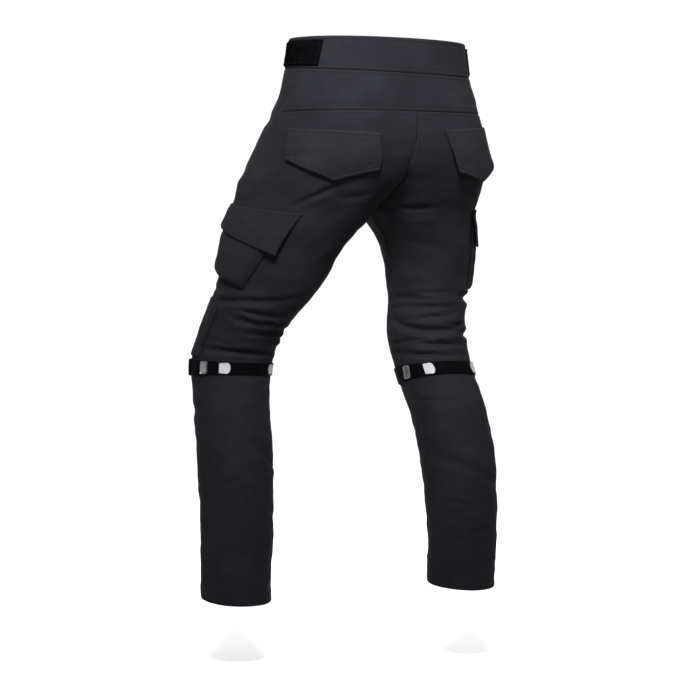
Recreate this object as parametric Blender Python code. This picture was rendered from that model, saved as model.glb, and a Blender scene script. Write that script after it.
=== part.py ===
"""Motorcycle trousers, filled out as worn, in a walking stance with the left knee bent.

Metres, +Z up. The origin is the centre of the waist opening. The front faces -Y and the wearer's
left is +X. Every piece of cloth is a thin wall worked out from one surface: a place on it is a side
(1 left, -1 right), a drop (metres down from the waist's edge, along the side seam) and a turn
(degrees round from the side seam, positive behind and negative in front).
"""

import math

import bpy
from mathutils import Vector

LEFT, RIGHT = 1, -1

# Driving dimensions
CLOTH = 0.0016
BAND_CLOTH = 0.0024
FLAP_CLOTH = 0.0020
WEBBING = 0.0015
PATCH = 0.0012
HALF_SEAM = 0.00016
BAND_HEIGHT = 0.050
YOKE_DROP = 0.119
CROTCH = 0.276
HEM = 0.985
HEM_DEPTH = 0.025
STRAP_WIDTH = 0.025
STRAP_DROP = {LEFT: 0.572, RIGHT: 0.557}
PANEL_COLUMNS = 12
FULLNESS = 0.03
STEP = 0.0005
TURN_STEP = 0.4


def rows_of(names, rows):
    """A table with named columns: one dictionary for each row."""
    return [dict(zip(names.split(), row)) for row in rows]


# Sections of the hips, from the waist down to the crotch. x is where each half's round is centred,
# wide the half width at the side seam, close how far the half has closed on the middle plane
# (1 at the crotch), lean the slope of the section, and ahead how far the side swings forward.
HIPS = rows_of(
    "drop   z      x      wide_l wide_r front  back   y     close_f close_b lean_x lean_y ahead_l ahead_r",
    (
        (0.000, 0.000, 0.000, 0.152, 0.152, 0.112, 0.118, 0.000, 0.00, 0.000, -0.022, -0.078, 0.000, 0.000),
        (0.048, -0.051, 0.010, 0.159, 0.159, 0.116, 0.121, 0.000, 0.03, 0.030, -0.010, -0.109, 0.000, 0.000),
        (0.110, -0.110, 0.040, 0.172, 0.172, 0.121, 0.129, 0.000, 0.10, 0.140, -0.034, -0.072, 0.006, 0.000),
        (0.155, -0.161, 0.062, 0.187, 0.182, 0.123, 0.133, -0.002, 0.18, 0.240, -0.020, -0.045, 0.034, 0.000),
        (0.198, -0.206, 0.078, 0.198, 0.188, 0.122, 0.130, -0.008, 0.30, 0.420, -0.006, -0.025, 0.052, 0.002),
        (0.230, -0.234, 0.088, 0.205, 0.190, 0.118, 0.124, -0.014, 0.50, 0.660, 0.000, -0.035, 0.062, 0.006),
        (0.252, -0.252, 0.092, 0.207, 0.190, 0.114, 0.118, -0.020, 0.73, 0.840, 0.000, -0.050, 0.064, 0.008),
        (0.267, -0.264, 0.094, 0.208, 0.190, 0.111, 0.114, -0.025, 0.91, 0.945, 0.000, -0.060, 0.064, 0.010),
        (CROTCH, -0.271, 0.095, 0.209, 0.190, 0.109, 0.111, -0.028, 1.00, 1.000, 0.000, -0.070, 0.064, 0.010),
    ),
)
# Sections of each leg, from below the crotch to the hem. x and y are the centre, out and inner the
# half widths towards the side seam and the inseam.
LEG_COLUMNS = "drop x y z out inner front back lean_x lean_y ahead"
LEG_ROWS = {
    LEFT: rows_of(
        LEG_COLUMNS,
        (
            (0.330, 0.132, -0.058, -0.327, 0.082, 0.089, 0.090, 0.088, 0.08, -0.20, 0.044),
            (0.385, 0.144, -0.085, -0.380, 0.078, 0.079, 0.082, 0.074, 0.14, -0.32, 0.024),
            (0.445, 0.158, -0.118, -0.435, 0.071, 0.059, 0.072, 0.064, 0.16, -0.36, 0.006),
            (0.505, 0.171, -0.155, -0.484, 0.068, 0.061, 0.070, 0.064, 0.10, -0.22, 0.000),
            (0.560, 0.180, -0.176, -0.532, 0.068, 0.067, 0.071, 0.066, 0.03, -0.04, 0.000),
            (0.620, 0.184, -0.169, -0.592, 0.065, 0.062, 0.068, 0.066, 0.00, 0.08, 0.000),
            (0.720, 0.189, -0.150, -0.685, 0.063, 0.063, 0.064, 0.066, 0.00, 0.10, 0.000),
            (0.850, 0.197, -0.127, -0.800, 0.060, 0.061, 0.061, 0.062, 0.00, 0.00, 0.000),
            (HEM, 0.206, -0.112, -0.927, 0.057, 0.056, 0.060, 0.060, 0.00, -0.10, 0.000),
        ),
    ),
    RIGHT: rows_of(
        LEG_COLUMNS,
        (
            (0.330, 0.118, -0.036, -0.329, 0.073, 0.078, 0.092, 0.092, 0.00, -0.06, 0.006),
            (0.410, 0.128, -0.046, -0.412, 0.063, 0.066, 0.078, 0.072, 0.00, -0.06, 0.000),
            (0.500, 0.130, -0.050, -0.497, 0.064, 0.066, 0.070, 0.069, 0.00, 0.02, 0.000),
            (0.560, 0.135, -0.034, -0.555, 0.063, 0.061, 0.067, 0.066, 0.00, 0.16, 0.000),
            (0.620, 0.141, -0.004, -0.612, 0.061, 0.062, 0.065, 0.064, 0.00, 0.22, 0.000),
            (0.720, 0.146, 0.021, -0.700, 0.061, 0.062, 0.064, 0.063, 0.00, 0.18, 0.000),
            (0.850, 0.146, 0.034, -0.810, 0.057, 0.058, 0.060, 0.059, 0.00, 0.06, 0.000),
            (HEM, 0.148, 0.026, -0.907, 0.055, 0.055, 0.058, 0.058, 0.00, -0.12, 0.000),
        ),
    ),
}

# Folds of the cloth. reach is half the fold's length in degrees, width its half width down the leg,
# depth the trough's depth (negative for a ridge), sag how far its ends rise above its middle, and
# tilt how far it climbs from one end to the other.
FOLDS = rows_of(
    "side turn  drop   reach width  depth   sag    tilt",
    (
        (LEFT, 46, 0.433, 86, 0.009, 0.0045, 0.000, -0.038),
        (LEFT, 70, 0.450, 70, 0.008, 0.0042, 0.002, -0.006),
        (LEFT, 66, 0.470, 60, 0.009, 0.0045, 0.018, -0.004),
        (LEFT, 112, 0.482, 64, 0.010, 0.0060, 0.000, -0.010),
        (LEFT, 132, 0.510, 48, 0.009, -0.0030, 0.000, 0.000),
        (LEFT, 72, 0.537, 94, 0.010, 0.0060, 0.000, -0.004),
        (LEFT, -60, 0.160, 40, 0.012, 0.0040, 0.004, 0.020),
        (LEFT, -48, 0.120, 36, 0.010, 0.0035, 0.004, 0.016),
        (LEFT, -52, 0.205, 42, 0.014, 0.0045, 0.006, 0.020),
        (LEFT, 66, 0.259, 20, 0.010, 0.0035, 0.000, -0.030),
        (LEFT, 96, 0.262, 20, 0.009, 0.0020, 0.002, -0.006),
        (LEFT, 120, 0.725, 50, 0.014, 0.0035, 0.000, 0.034),
        (LEFT, 60, 0.775, 46, 0.016, 0.0025, 0.000, -0.026),
        (LEFT, -30, 0.640, 60, 0.016, 0.0025, 0.006, 0.010),
        (RIGHT, 40, 0.420, 46, 0.010, 0.0070, 0.004, -0.004),
        (RIGHT, 142, 0.422, 46, 0.008, 0.0035, 0.000, -0.002),
        (RIGHT, 118, 0.437, 62, 0.009, 0.0045, 0.002, -0.002),
        (RIGHT, 104, 0.453, 38, 0.008, 0.0035, 0.000, 0.003),
        (RIGHT, 116, 0.483, 90, 0.011, 0.0065, 0.038, -0.002),
        (RIGHT, 44, 0.488, 50, 0.009, 0.0050, 0.004, -0.006),
        (RIGHT, 98, 0.509, 66, 0.010, 0.0060, 0.000, 0.000),
        (RIGHT, 122, 0.530, 80, 0.009, 0.0055, 0.006, -0.006),
        (RIGHT, 128, 0.279, 32, 0.009, 0.0040, 0.002, 0.001),
        (RIGHT, 118, 0.735, 56, 0.014, 0.0030, 0.000, -0.030),
        (RIGHT, 60, 0.765, 40, 0.016, 0.0025, 0.000, -0.020),
        (RIGHT, -60, 0.150, 40, 0.012, 0.0025, 0.004, 0.014),
    ),
)


def side_rows(side):
    """The sections of one side in one list, from the waist to the hem."""
    tail = "_l" if side == LEFT else "_r"
    rows = []
    for hip in HIPS:
        row = {name: hip[name] for name in ("drop", "x", "y", "z", "front", "back", "lean_x", "lean_y")}
        row["out"] = hip["wide" + tail] - hip["x"]
        row["inner"] = hip["x"]
        row["ahead"] = hip["ahead" + tail]
        row["close_f"] = hip["close_f"]
        row["close_b"] = hip["close_b"]
        rows.append(row)
    for leg in LEG_ROWS[side]:
        rows.append(dict(leg, close_f=1.0, close_b=1.0))
    return rows


SECTIONS = {LEFT: side_rows(LEFT), RIGHT: side_rows(RIGHT)}


def slope_at(rows, index, name):
    """The slope of a column at a row, from the rows on each side of it."""
    before, here, after = rows[max(index - 1, 0)], rows[index], rows[min(index + 1, len(rows) - 1)]
    if before is here or after is here:
        return (after[name] - before[name]) / (after["drop"] - before["drop"])
    above, below = here["drop"] - before["drop"], after["drop"] - here["drop"]
    rise = (here[name] - before[name]) / above
    fall = (after[name] - here[name]) / below
    return (rise * below + fall * above) / (above + below)


KNOWN_SECTIONS = {}


def section(side, drop):
    """The section at a drop, on a smooth curve through the table's rows."""
    key = (side, round(drop, 7))
    if key in KNOWN_SECTIONS:
        return KNOWN_SECTIONS[key]
    rows = SECTIONS[side]
    index = 0
    while index < len(rows) - 2 and rows[index + 1]["drop"] <= drop:
        index += 1
    first, second = rows[index], rows[index + 1]
    gap = second["drop"] - first["drop"]
    u = (drop - first["drop"]) / gap
    start, end = 2 * u**3 - 3 * u**2 + 1, 3 * u**2 - 2 * u**3
    leave, arrive = u**3 - 2 * u**2 + u, u**3 - u**2
    found = {
        name: start * first[name]
        + end * second[name]
        + gap * (leave * slope_at(rows, index, name) + arrive * slope_at(rows, index + 1, name))
        for name in first
    }
    KNOWN_SECTIONS[key] = found
    return found


def end_turn(side, drop, behind):
    """The turn where a panel ends: at the middle plane above the crotch, at the inseam below it."""
    if drop >= CROTCH:
        return 180.0
    closed = section(side, drop)["close_b" if behind else "close_f"]
    return math.degrees(math.acos(-min(max(closed, 0.0), 1.0)))


def form(side, drop, turn):
    """A point of the surface before its folds."""
    row = section(side, drop)
    behind = turn >= 0
    angle = math.radians(abs(turn))
    depth = row["back"] if behind else -row["front"]
    if math.cos(angle) >= 0:
        width, full = row["out"], 1 + FULLNESS * math.sin(2 * angle) ** 2
    elif drop >= CROTCH:
        width, full = row["inner"], 1.0
    else:
        closed = min(max(row["close_b" if behind else "close_f"], 1e-6), 1.0)
        width, full = row["x"] / closed, 1.0
    across = row["x"] + width * math.cos(angle) * full
    along = depth * math.sin(angle) * full
    inside = 0.0 if drop < CROTCH else row["x"] - row["inner"]
    share = max((across - inside) / (row["x"] + row["out"] - inside), 0.0)
    lean_from = 0.0 if drop < CROTCH else row["x"]
    return Vector(
        (
            side * across,
            row["y"] + along - row["ahead"] * share**1.4,
            row["z"] + row["lean_x"] * side * (across - lean_from) + row["lean_y"] * along,
        )
    )


def outward(side, drop, turn):
    """The unit normal that points out of the garment."""
    low, high = max(drop - STEP, 0.0), min(drop + STEP, HEM)
    down = form(side, high, turn) - form(side, low, turn)
    round_ = form(side, drop, turn + TURN_STEP) - form(side, drop, turn - TURN_STEP)
    return (side * down.cross(round_)).normalized()


def smooth(value):
    """A step from 0 to 1 with no corner."""
    value = min(max(value, 0.0), 1.0)
    return value * value * (3 - 2 * value)


def relief(side, drop, turn):
    """How far the folds push the cloth in or out. A strap holds the cloth flat beneath it."""
    push = 0.0
    for fold in FOLDS:
        if fold["side"] != side:
            continue
        q = ((turn - fold["turn"] + 180) % 360 - 180) / fold["reach"]
        if abs(q) >= 1:
            continue
        w = (drop - fold["drop"] + fold["sag"] * q * q - fold["tilt"] * q) / fold["width"]
        push -= fold["depth"] * (1 - 1.4 * w * w) * math.exp(-w * w) * (1 - q * q) ** 2
    away = abs(drop - STRAP_DROP[side]) - STRAP_WIDTH / 2 - 0.003
    push *= smooth(away / 0.012)
    if drop > HEM - HEM_DEPTH:
        push += 0.0006
    return push


def place(side, drop, turn, out=0.0):
    """A point on the folded cloth, moved out along the normal."""
    normal = outward(side, drop, turn)
    point = form(side, drop, turn)
    if abs(point.x) < 1e-5:
        point.x = 0.0
        normal.x = 0.0
        normal.normalize()
    return point + normal * (relief(side, drop, turn) + out)


def material(name, colour, roughness, metallic=0.0):
    made = bpy.data.materials.new(name)
    made.use_nodes = True
    shader = made.node_tree.nodes["Principled BSDF"]
    shader.inputs["Base Color"].default_value = (*colour, 1.0)
    shader.inputs["Roughness"].default_value = roughness
    shader.inputs["Metallic"].default_value = metallic
    made.diffuse_color = (*colour, 1.0)
    return made


def wall(name, outer, inner, finish, ring=False):
    """A closed wall between two grids of points, the outer one and the one inside it."""
    rows, columns = len(outer), len(outer[0])
    points = [p for row in outer for p in row] + [p for row in inner for p in row]
    back = rows * columns
    faces = []
    spans = columns if ring else columns - 1
    for i in range(rows - 1):
        for j in range(spans):
            k = (j + 1) % columns
            a, b, c, d = i * columns + j, i * columns + k, (i + 1) * columns + k, (i + 1) * columns + j
            faces.append((a, b, c, d))
            faces.append((back + d, back + c, back + b, back + a))
    for j in range(spans):
        k = (j + 1) % columns
        last = (rows - 1) * columns
        faces.append((back + j, back + k, k, j))
        faces.append((last + j, last + k, back + last + k, back + last + j))
    if not ring:
        for i in range(rows - 1):
            a, b = i * columns, (i + 1) * columns
            faces.append((a, b, back + b, back + a))
            c, d = a + columns - 1, b + columns - 1
            faces.append((back + c, back + d, d, c))
    mesh = bpy.data.meshes.new(name)
    mesh.from_pydata(points, [], faces)
    mesh.update()
    if signed_volume(mesh) < 0:
        mesh.flip_normals()
    mesh.shade_smooth()
    mesh.set_sharp_from_angle(angle=math.radians(40))
    mesh.materials.append(finish)
    obj = bpy.data.objects.new(name, mesh)
    bpy.context.scene.collection.objects.link(obj)
    return obj


def signed_volume(mesh):
    """Six times the volume inside a closed mesh; negative if it is inside out."""
    total = 0.0
    for face in mesh.polygons:
        corners = [mesh.vertices[i].co for i in face.vertices]
        for second, third in zip(corners[1:], corners[2:]):
            total += corners[0].dot(second.cross(third))
    return total


def spread(first, last, count):
    """Evenly spaced values from first to last, count gaps."""
    return [first + (last - first) * i / count for i in range(count + 1)]


def drops_between(top, bottom):
    """The rows of a panel: close where the cloth is folded, wide where it hangs plain."""
    stages = (
        (YOKE_DROP, CROTCH, 8),
        (CROTCH, 0.330, 4),
        (0.330, 0.410, 4),
        (0.410, 0.560, 15),
        (0.560, 0.620, 4),
        (0.620, HEM - HEM_DEPTH, 8),
        (HEM - HEM_DEPTH + 0.001, HEM, 1),
    )
    drops = [top]
    if top < YOKE_DROP:
        drops += spread(top, YOKE_DROP, 4)[1:]
    for start, end, count in stages:
        drops += [drop for drop in spread(start, end, count) if drop > drops[-1] + 0.0006]
    return [drop for drop in drops if drop < bottom - 0.0006] + [bottom]


def panel_turns(drop, first, last):
    """Turns across a panel. Over the hips its outer half keeps the same turns from row to row."""
    even = spread(first, last, PANEL_COLUMNS)
    split = PANEL_COLUMNS // 2 + 1
    kept = spread(first, 84.0, split) + spread(84.0, last, PANEL_COLUMNS - split)[1:]
    share = min(max((drop - CROTCH) / 0.12, 0.0), 1.0)
    return [a + (b - a) * share for a, b in zip(kept, even)]


def panel(name, side, behind, top, bottom, finish):
    """A front or a back piece of one leg, between two drops. Those of the lower leg start at a seam
    under the knee strap."""
    sign = 1 if behind else -1
    outer, inner = [], []
    for drop in drops_between(top + HALF_SEAM, bottom if bottom == HEM else bottom - HALF_SEAM):
        row = section(side, drop)
        trim = math.degrees(HALF_SEAM / row["back" if behind else "front"])
        end = end_turn(side, drop, behind)
        if drop >= CROTCH:
            end -= trim
        turns = [sign * turn for turn in panel_turns(drop, trim, end)]
        shift = Vector((side * HALF_SEAM, 0, 0))
        outer.append([place(side, drop, turn) + shift for turn in turns])
        thick = CLOTH + (0.0012 if drop > HEM - HEM_DEPTH else 0.0)
        inner.append([place(side, drop, turn, -thick) + shift for turn in turns])
    return wall(name, outer, inner, finish)


def arc_of_hips(first_turn, last_turn, columns):
    """Places round the hips from one side to the other, by way of the back, as (side, turn share)."""
    left = [(LEFT, turn) for turn in spread(first_turn, 1.0, columns)]
    right = [(RIGHT, turn) for turn in spread(1.0, last_turn, columns)][1:]
    return left + right


def hip_turn(side, drop, share):
    """A turn from its share of the way to the middle plane, 1 behind and -1 in front."""
    return share * end_turn(side, drop, share > 0)


def yoke(finish):
    """The back yoke, between the waistband and the back panels, from side seam to side seam."""
    trim = 0.0015
    outer, inner = [], []
    for drop in spread(BAND_HEIGHT + HALF_SEAM, YOKE_DROP - HALF_SEAM, 4):
        places = [(side, drop, hip_turn(side, drop, share)) for side, share in arc_of_hips(trim, trim, 12)]
        outer.append([place(*spot) for spot in places])
        inner.append([place(*spot, -CLOTH) for spot in places])
    return wall("yoke_back", outer, inner, finish)


def turn_at(side, drop, x, behind):
    """The turn at which the section is x metres from the middle plane."""
    low, high = 0.0, end_turn(side, drop, behind)
    sign = 1 if behind else -1
    for _ in range(40):
        middle = (low + high) / 2
        if abs(form(side, drop, sign * middle).x) > x:
            low = middle
        else:
            high = middle
    return sign * (low + high) / 2


BAND_OVERLAP = 0.030


def waistband(finish):
    """The waistband, a double strip all round. Its left end laps past the middle at the front."""
    outer, inner = [], []
    for drop in (0.0, BAND_HEIGHT * 0.5, BAND_HEIGHT - HALF_SEAM):
        lap = turn_at(RIGHT, drop, BAND_OVERLAP, False) / end_turn(RIGHT, drop, False)
        slit = 0.0012
        front = [(RIGHT, share) for share in spread(lap - slit, -1.0, 2)][:-1]
        left = [(LEFT, share) for share in spread(-1.0, 1.0, 24)]
        right = [(RIGHT, share) for share in spread(1.0, lap, 21)][1:]
        places = [(side, drop, hip_turn(side, drop, share)) for side, share in front + left + right]
        outer.append([place(*spot, 0.0004) for spot in places])
        inner.append([place(*spot, 0.0004 - BAND_CLOTH) for spot in places])
    return wall("waistband", outer, inner, finish)


def mix(a, b, share):
    return a + (b - a) * share


def along_line(knots, u):
    """A (drop, turn) on a line of evenly spaced knots, u from 0 to 1."""
    spans = len(knots) - 1
    index = min(int(u * spans), spans - 1)
    share = u * spans - index
    return tuple(mix(a, b, share) for a, b in zip(knots[index], knots[index + 1]))


def patch(name, side, top, bottom, columns, rows, out, thick, finish):
    """A piece that lies on the cloth, between a top line and a bottom line of (drop, turn) knots.

    columns and rows are shares from 0 to 1, and out gives the distance off the cloth at a place."""
    outer, inner = [], []
    for v in rows:
        outer.append([])
        inner.append([])
        for u in columns:
            high, low = along_line(top, u), along_line(bottom, u)
            drop, turn = mix(high[0], low[0], v), mix(high[1], low[1], v)
            off = out(drop, turn, v)
            outer[-1].append(place(side, drop, turn, off + thick))
            inner[-1].append(place(side, drop, turn, off))
    return wall(name, outer, inner, finish)


# The flaps' outlines as (drop, turn) knots: along the sewn top edge, and along the free edge below.
# lift is how far the free edge stands off.
BACK_FLAPS = {
    LEFT: {
        "top": ((0.144, 21.0), (0.153, 88.5)),
        "bottom": ((0.195, 32.5), (0.232, 72.0), (0.213, 98.4)),
        "lift": 0.004,
    },
    RIGHT: {
        "top": ((0.135, 22.0), (0.146, 92.0)),
        "bottom": ((0.190, 31.0), (0.221, 64.0), (0.208, 91.0)),
        "lift": 0.013,
    },
}
CARGO_FLAPS = {
    LEFT: {
        "top": ((0.272, -53.0), (0.290, 62.0)),
        "bottom": ((0.322, -54.0), (0.334, 6.0), (0.348, 60.0)),
        "lift": 0.0105,
    },
    RIGHT: {
        "top": ((0.264, -46.0), (0.276, 52.0)),
        "bottom": ((0.318, -44.0), (0.332, 4.0), (0.334, 50.0)),
        "lift": 0.0095,
    },
}
# The bellows pockets under the cargo flaps, as the drops and turns of their corners.
CARGO_BAGS = {
    LEFT: {"drops": (0.304, 0.416), "front": (-50.0, -56.0), "rear": (58.0, 36.0), "bulge": 0.0080},
    RIGHT: {"drops": (0.296, 0.404), "front": (-42.0, -36.0), "rear": (48.0, 44.0), "bulge": 0.0065},
}
BAG_LAY = 0.0009
BAG_COLUMNS = (0.0, 0.05, 0.11, 0.20, 0.32, 0.44, 0.56, 0.68, 0.80, 0.89, 0.95, 1.0)
BAG_ROWS = (0.0, 0.10, 0.20, 0.30, 0.42, 0.56, 0.70, 0.82, 0.90, 0.96, 1.0)


def bag_lift(side, drop, turn):
    """How far the bellows pocket stands off the cloth, 0 outside it."""
    bag = CARGO_BAGS[side]
    v = (drop - bag["drops"][0]) / (bag["drops"][1] - bag["drops"][0])
    front, rear = mix(*bag["front"], v), mix(*bag["rear"], v)
    u = (turn - front) / (rear - front)
    if not (0 <= u <= 1 and 0 <= v <= 1):
        return 0.0
    sides = min(1.0, min(u, 1 - u) / 0.11)
    below = min(1.0, (1 - v) / 0.10)
    round_off = (sides * (2 - sides)) * (below * (2 - below))
    return BAG_LAY + bag["bulge"] * round_off * smooth(v / 0.36)


def cargo_pocket(name, side, finish):
    """The bellows pocket on the thigh, one sheet whose edges turn in to the leg as gussets."""
    bag = CARGO_BAGS[side]
    top = ((bag["drops"][0], bag["front"][0]), (bag["drops"][0], bag["rear"][0]))
    bottom = ((bag["drops"][1], bag["front"][1]), (bag["drops"][1], bag["rear"][1]))

    def out(drop, turn, v):
        inside = min(max(drop, bag["drops"][0]), bag["drops"][1])
        return max(bag_lift(side, inside, turn), BAG_LAY)

    return patch(name, side, top, bottom, BAG_COLUMNS, BAG_ROWS, out, CLOTH, finish)


def cargo_flap(name, side, finish):
    """The flap of the bellows pocket, sewn down along its top and lying over the bag below."""
    flap = CARGO_FLAPS[side]

    def out(drop, turn, v):
        own = BAG_LAY + flap["lift"] * smooth(0.08 + 0.92 * v) ** 0.8
        bag = bag_lift(side, drop, turn)
        return max(own, bag + CLOTH + 0.0010) if bag else own

    columns, rows = spread(0, 1, 14), spread(0, 1, 8)
    return patch(name, side, flap["top"], flap["bottom"], columns, rows, out, FLAP_CLOTH, finish)


def back_flap(name, side, finish):
    """The pointed flap of a back pocket, sewn along its top and lifting off below."""
    flap = BACK_FLAPS[side]

    def out(drop, turn, v):
        return 0.0008 + flap["lift"] * v**1.5

    columns, rows = spread(0, 1, 12), spread(0, 1, 6)
    return patch(name, side, flap["top"], flap["bottom"], columns, rows, out, FLAP_CLOTH, finish)


def knee_panel(name, side, finish):
    """The layer over the front of the knee, above the strap."""
    low = STRAP_DROP[side] - STRAP_WIDTH / 2 - 0.006
    top = ((low - 0.088, 8.0), (low - 0.096, -60.0), (low - 0.088, -128.0))
    bottom = ((low, 8.0), (low, -60.0), (low, -128.0))
    return patch(name, side, top, bottom, spread(0, 1, 14), spread(0, 1, 7), lambda *_: 0.0010, CLOTH, finish)


def waist_tab(name, side, finish):
    """The hook-and-loop tab that draws the waistband in, round from the front to behind the side."""
    top = ((0.006, -38.0), (0.006, 30.0))
    bottom = ((0.046, -38.0), (0.046, 28.0))
    columns, rows = spread(0, 1, 14), (0, 0.5, 1)
    return patch(name, side, top, bottom, columns, rows, lambda *_: 0.0012, FLAP_CLOTH, finish)


STRAP_FROM = -52.0
STRAP_LAP = 34.0
STRAP_LAY = 0.0010
# How far the pieces on the strap are off the cloth.
STRAP_TOP = STRAP_LAY + WEBBING + 0.0005


def strap(name, side, finish):
    """The webbing strap round the knee. It starts in front and its end laps over the start."""
    rows = (-0.5, 0.0, 0.5)
    turns = spread(STRAP_FROM, STRAP_FROM + 360 + STRAP_LAP, 48)
    outer, inner = [], []
    for row in rows:
        outer.append([])
        inner.append([])
        for turn in turns:
            over = smooth((turn - STRAP_FROM - 342) / 16) * (WEBBING + 0.0005)
            wrapped = (turn + 180) % 360 - 180
            drop = STRAP_DROP[side] + row * STRAP_WIDTH
            outer[-1].append(place(side, drop, wrapped, STRAP_LAY + over + WEBBING))
            inner[-1].append(place(side, drop, wrapped, STRAP_LAY + over))
    return wall(name, outer, inner, finish)


# The small pieces sewn on the straps: the turn of the middle, the width and height, and which end
# is round (1 towards greater turns, -1 towards smaller ones, 0 neither).
STRAP_PIECES = rows_of(
    "name             side   turn   wide   high   round",
    (
        ("reflector_outer_left", LEFT, 54.0, 0.020, 0.022, 1),
        ("reflector_inner_left", LEFT, 131.0, 0.020, 0.022, -1),
        ("slider_left", LEFT, 23.0, 0.015, 0.022, 0),
        ("reflector_outer_right", RIGHT, 51.0, 0.020, 0.022, 1),
        ("reflector_inner_right", RIGHT, 131.0, 0.020, 0.022, -1),
        ("slider_right", RIGHT, 169.0, 0.015, 0.022, 0),
    ),
)


def strap_piece(piece, finish):
    """A small piece on a strap, flat or with one round end."""
    side, half_high = piece["side"], piece["high"] / 2
    row = section(side, STRAP_DROP[side])
    radius = (row["out"] + row["back"]) / 2
    half_turn = math.degrees(piece["wide"] / 2 / radius)
    outer, inner = [], []
    for v in spread(-1, 1, 6):
        left, right = -1.0, 1.0
        if piece["round"]:
            bow = 1 - 0.62 * (1 - math.sqrt(max(1 - v * v, 0.0)))
            left, right = (left, bow) if piece["round"] > 0 else (-bow, right)
        outer.append([])
        inner.append([])
        for u in spread(left, right, 4):
            turn = piece["turn"] + u * half_turn
            drop = STRAP_DROP[side] + v * half_high
            outer[-1].append(place(side, drop, turn, STRAP_TOP + PATCH))
            inner[-1].append(place(side, drop, turn, STRAP_TOP))
    return wall(piece["name"], outer, inner, finish)


def fly(finish):
    """The fly's placket, on the wearer's left of the middle, rounded at the bottom."""
    outer, inner = [], []
    for drop in spread(BAND_HEIGHT + 0.001, 0.214, 10):
        wide = 0.036 * math.sqrt(max(1 - (max(drop - 0.176, 0.0) / 0.045) ** 2, 0.0))
        turns = [turn_at(LEFT, drop, x, False) for x in spread(wide, 0.001, 4)]
        outer.append([place(LEFT, drop, turn, 0.0007 + CLOTH) for turn in turns])
        inner.append([place(LEFT, drop, turn, 0.0007) for turn in turns])
    return wall("fly_placket", outer, inner, finish)


# The button's profile: radius and height off its seat.
BUTTON = rows_of("radius height", ((0.0060, 0.0), (0.0085, 0.0012), (0.0085, 0.0022), (0.0060, 0.0034)))


def button(finish):
    """The snap that closes the waistband, on the lapping end."""
    drop = BAND_HEIGHT / 2
    turn = turn_at(RIGHT, drop, BAND_OVERLAP / 2, False)
    seat = place(RIGHT, drop, turn, 0.0004 + 0.0008)
    up = outward(RIGHT, drop, turn)
    across = up.cross(Vector((0, 0, 1))).normalized()
    over = up.cross(across)
    sides = 20
    points, faces = [], []
    for step in BUTTON:
        for k in range(sides):
            angle = 2 * math.pi * k / sides
            spoke = across * math.cos(angle) + over * math.sin(angle)
            points.append(seat + spoke * step["radius"] + up * step["height"])
    for i in range(len(BUTTON) - 1):
        for k in range(sides):
            n = (k + 1) % sides
            faces.append((i * sides + k, i * sides + n, (i + 1) * sides + n, (i + 1) * sides + k))
    faces.append(tuple(range(sides - 1, -1, -1)))
    last = (len(BUTTON) - 1) * sides
    faces.append(tuple(range(last, last + sides)))
    mesh = bpy.data.meshes.new("waist_button")
    mesh.from_pydata(points, [], faces)
    mesh.update()
    if signed_volume(mesh) < 0:
        mesh.flip_normals()
    mesh.materials.append(finish)
    obj = bpy.data.objects.new("waist_button", mesh)
    bpy.context.scene.collection.objects.link(obj)
    return obj


def clear_scene():
    for obj in list(bpy.data.objects):
        bpy.data.objects.remove(obj, do_unlink=True)


def main():
    clear_scene()
    shell = material("softshell", (0.022, 0.023, 0.028), 0.75)
    flap_cloth = material("flap_cloth", (0.026, 0.026, 0.031), 0.75)
    webbing = material("black_webbing", (0.006, 0.006, 0.007), 0.6)
    reflective = material("reflective_tape", (0.62, 0.64, 0.66), 0.35)
    satin = material("satin_metal", (0.45, 0.46, 0.48), 0.3, 1.0)
    for side, word in ((LEFT, "left"), (RIGHT, "right")):
        knee = STRAP_DROP[side]
        panel("back_" + word, side, True, YOKE_DROP, knee, shell)
        panel("front_" + word, side, False, BAND_HEIGHT, knee, shell)
        panel("lower_back_" + word, side, True, knee, HEM, shell)
        panel("lower_front_" + word, side, False, knee, HEM, shell)
        cargo_pocket("cargo_pocket_" + word, side, shell)
        cargo_flap("cargo_flap_" + word, side, flap_cloth)
        back_flap("back_flap_" + word, side, flap_cloth)
        knee_panel("knee_panel_" + word, side, shell)
        waist_tab("waist_tab_" + word, side, webbing)
        strap("knee_strap_" + word, side, webbing)
    for piece in STRAP_PIECES:
        strap_piece(piece, satin if piece["name"].startswith("slider") else reflective)
    yoke(shell)
    waistband(shell)
    fly(shell)
    button(satin)


main()
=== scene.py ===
import math

import bpy
import numpy as np
from mathutils import Matrix, Vector


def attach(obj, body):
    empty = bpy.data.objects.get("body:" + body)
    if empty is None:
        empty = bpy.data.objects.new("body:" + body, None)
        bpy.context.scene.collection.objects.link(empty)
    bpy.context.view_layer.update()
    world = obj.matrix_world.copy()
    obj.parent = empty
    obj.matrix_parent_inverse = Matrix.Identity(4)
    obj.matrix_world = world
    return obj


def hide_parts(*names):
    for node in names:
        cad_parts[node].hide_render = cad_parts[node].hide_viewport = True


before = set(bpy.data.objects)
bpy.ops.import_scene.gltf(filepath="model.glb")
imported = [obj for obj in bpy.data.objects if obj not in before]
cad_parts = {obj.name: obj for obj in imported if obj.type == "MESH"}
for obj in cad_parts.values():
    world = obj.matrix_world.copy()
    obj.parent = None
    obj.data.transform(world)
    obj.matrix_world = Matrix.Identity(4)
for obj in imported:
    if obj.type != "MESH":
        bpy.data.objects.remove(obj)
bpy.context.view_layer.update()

# Back panels. Bonded softshell, a fine matt weave outside and brushed fleece inside. Each leg has one
# from the yoke to the knee strap and one from there to the hem, joined under the strap, topstitched
# beside the seams and turned up at the hem.
LEFT, RIGHT = 1, -1
WORDS = {LEFT: "left", RIGHT: "right"}
CLOTH = 0.0016
HALF_SEAM = 0.00016
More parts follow.
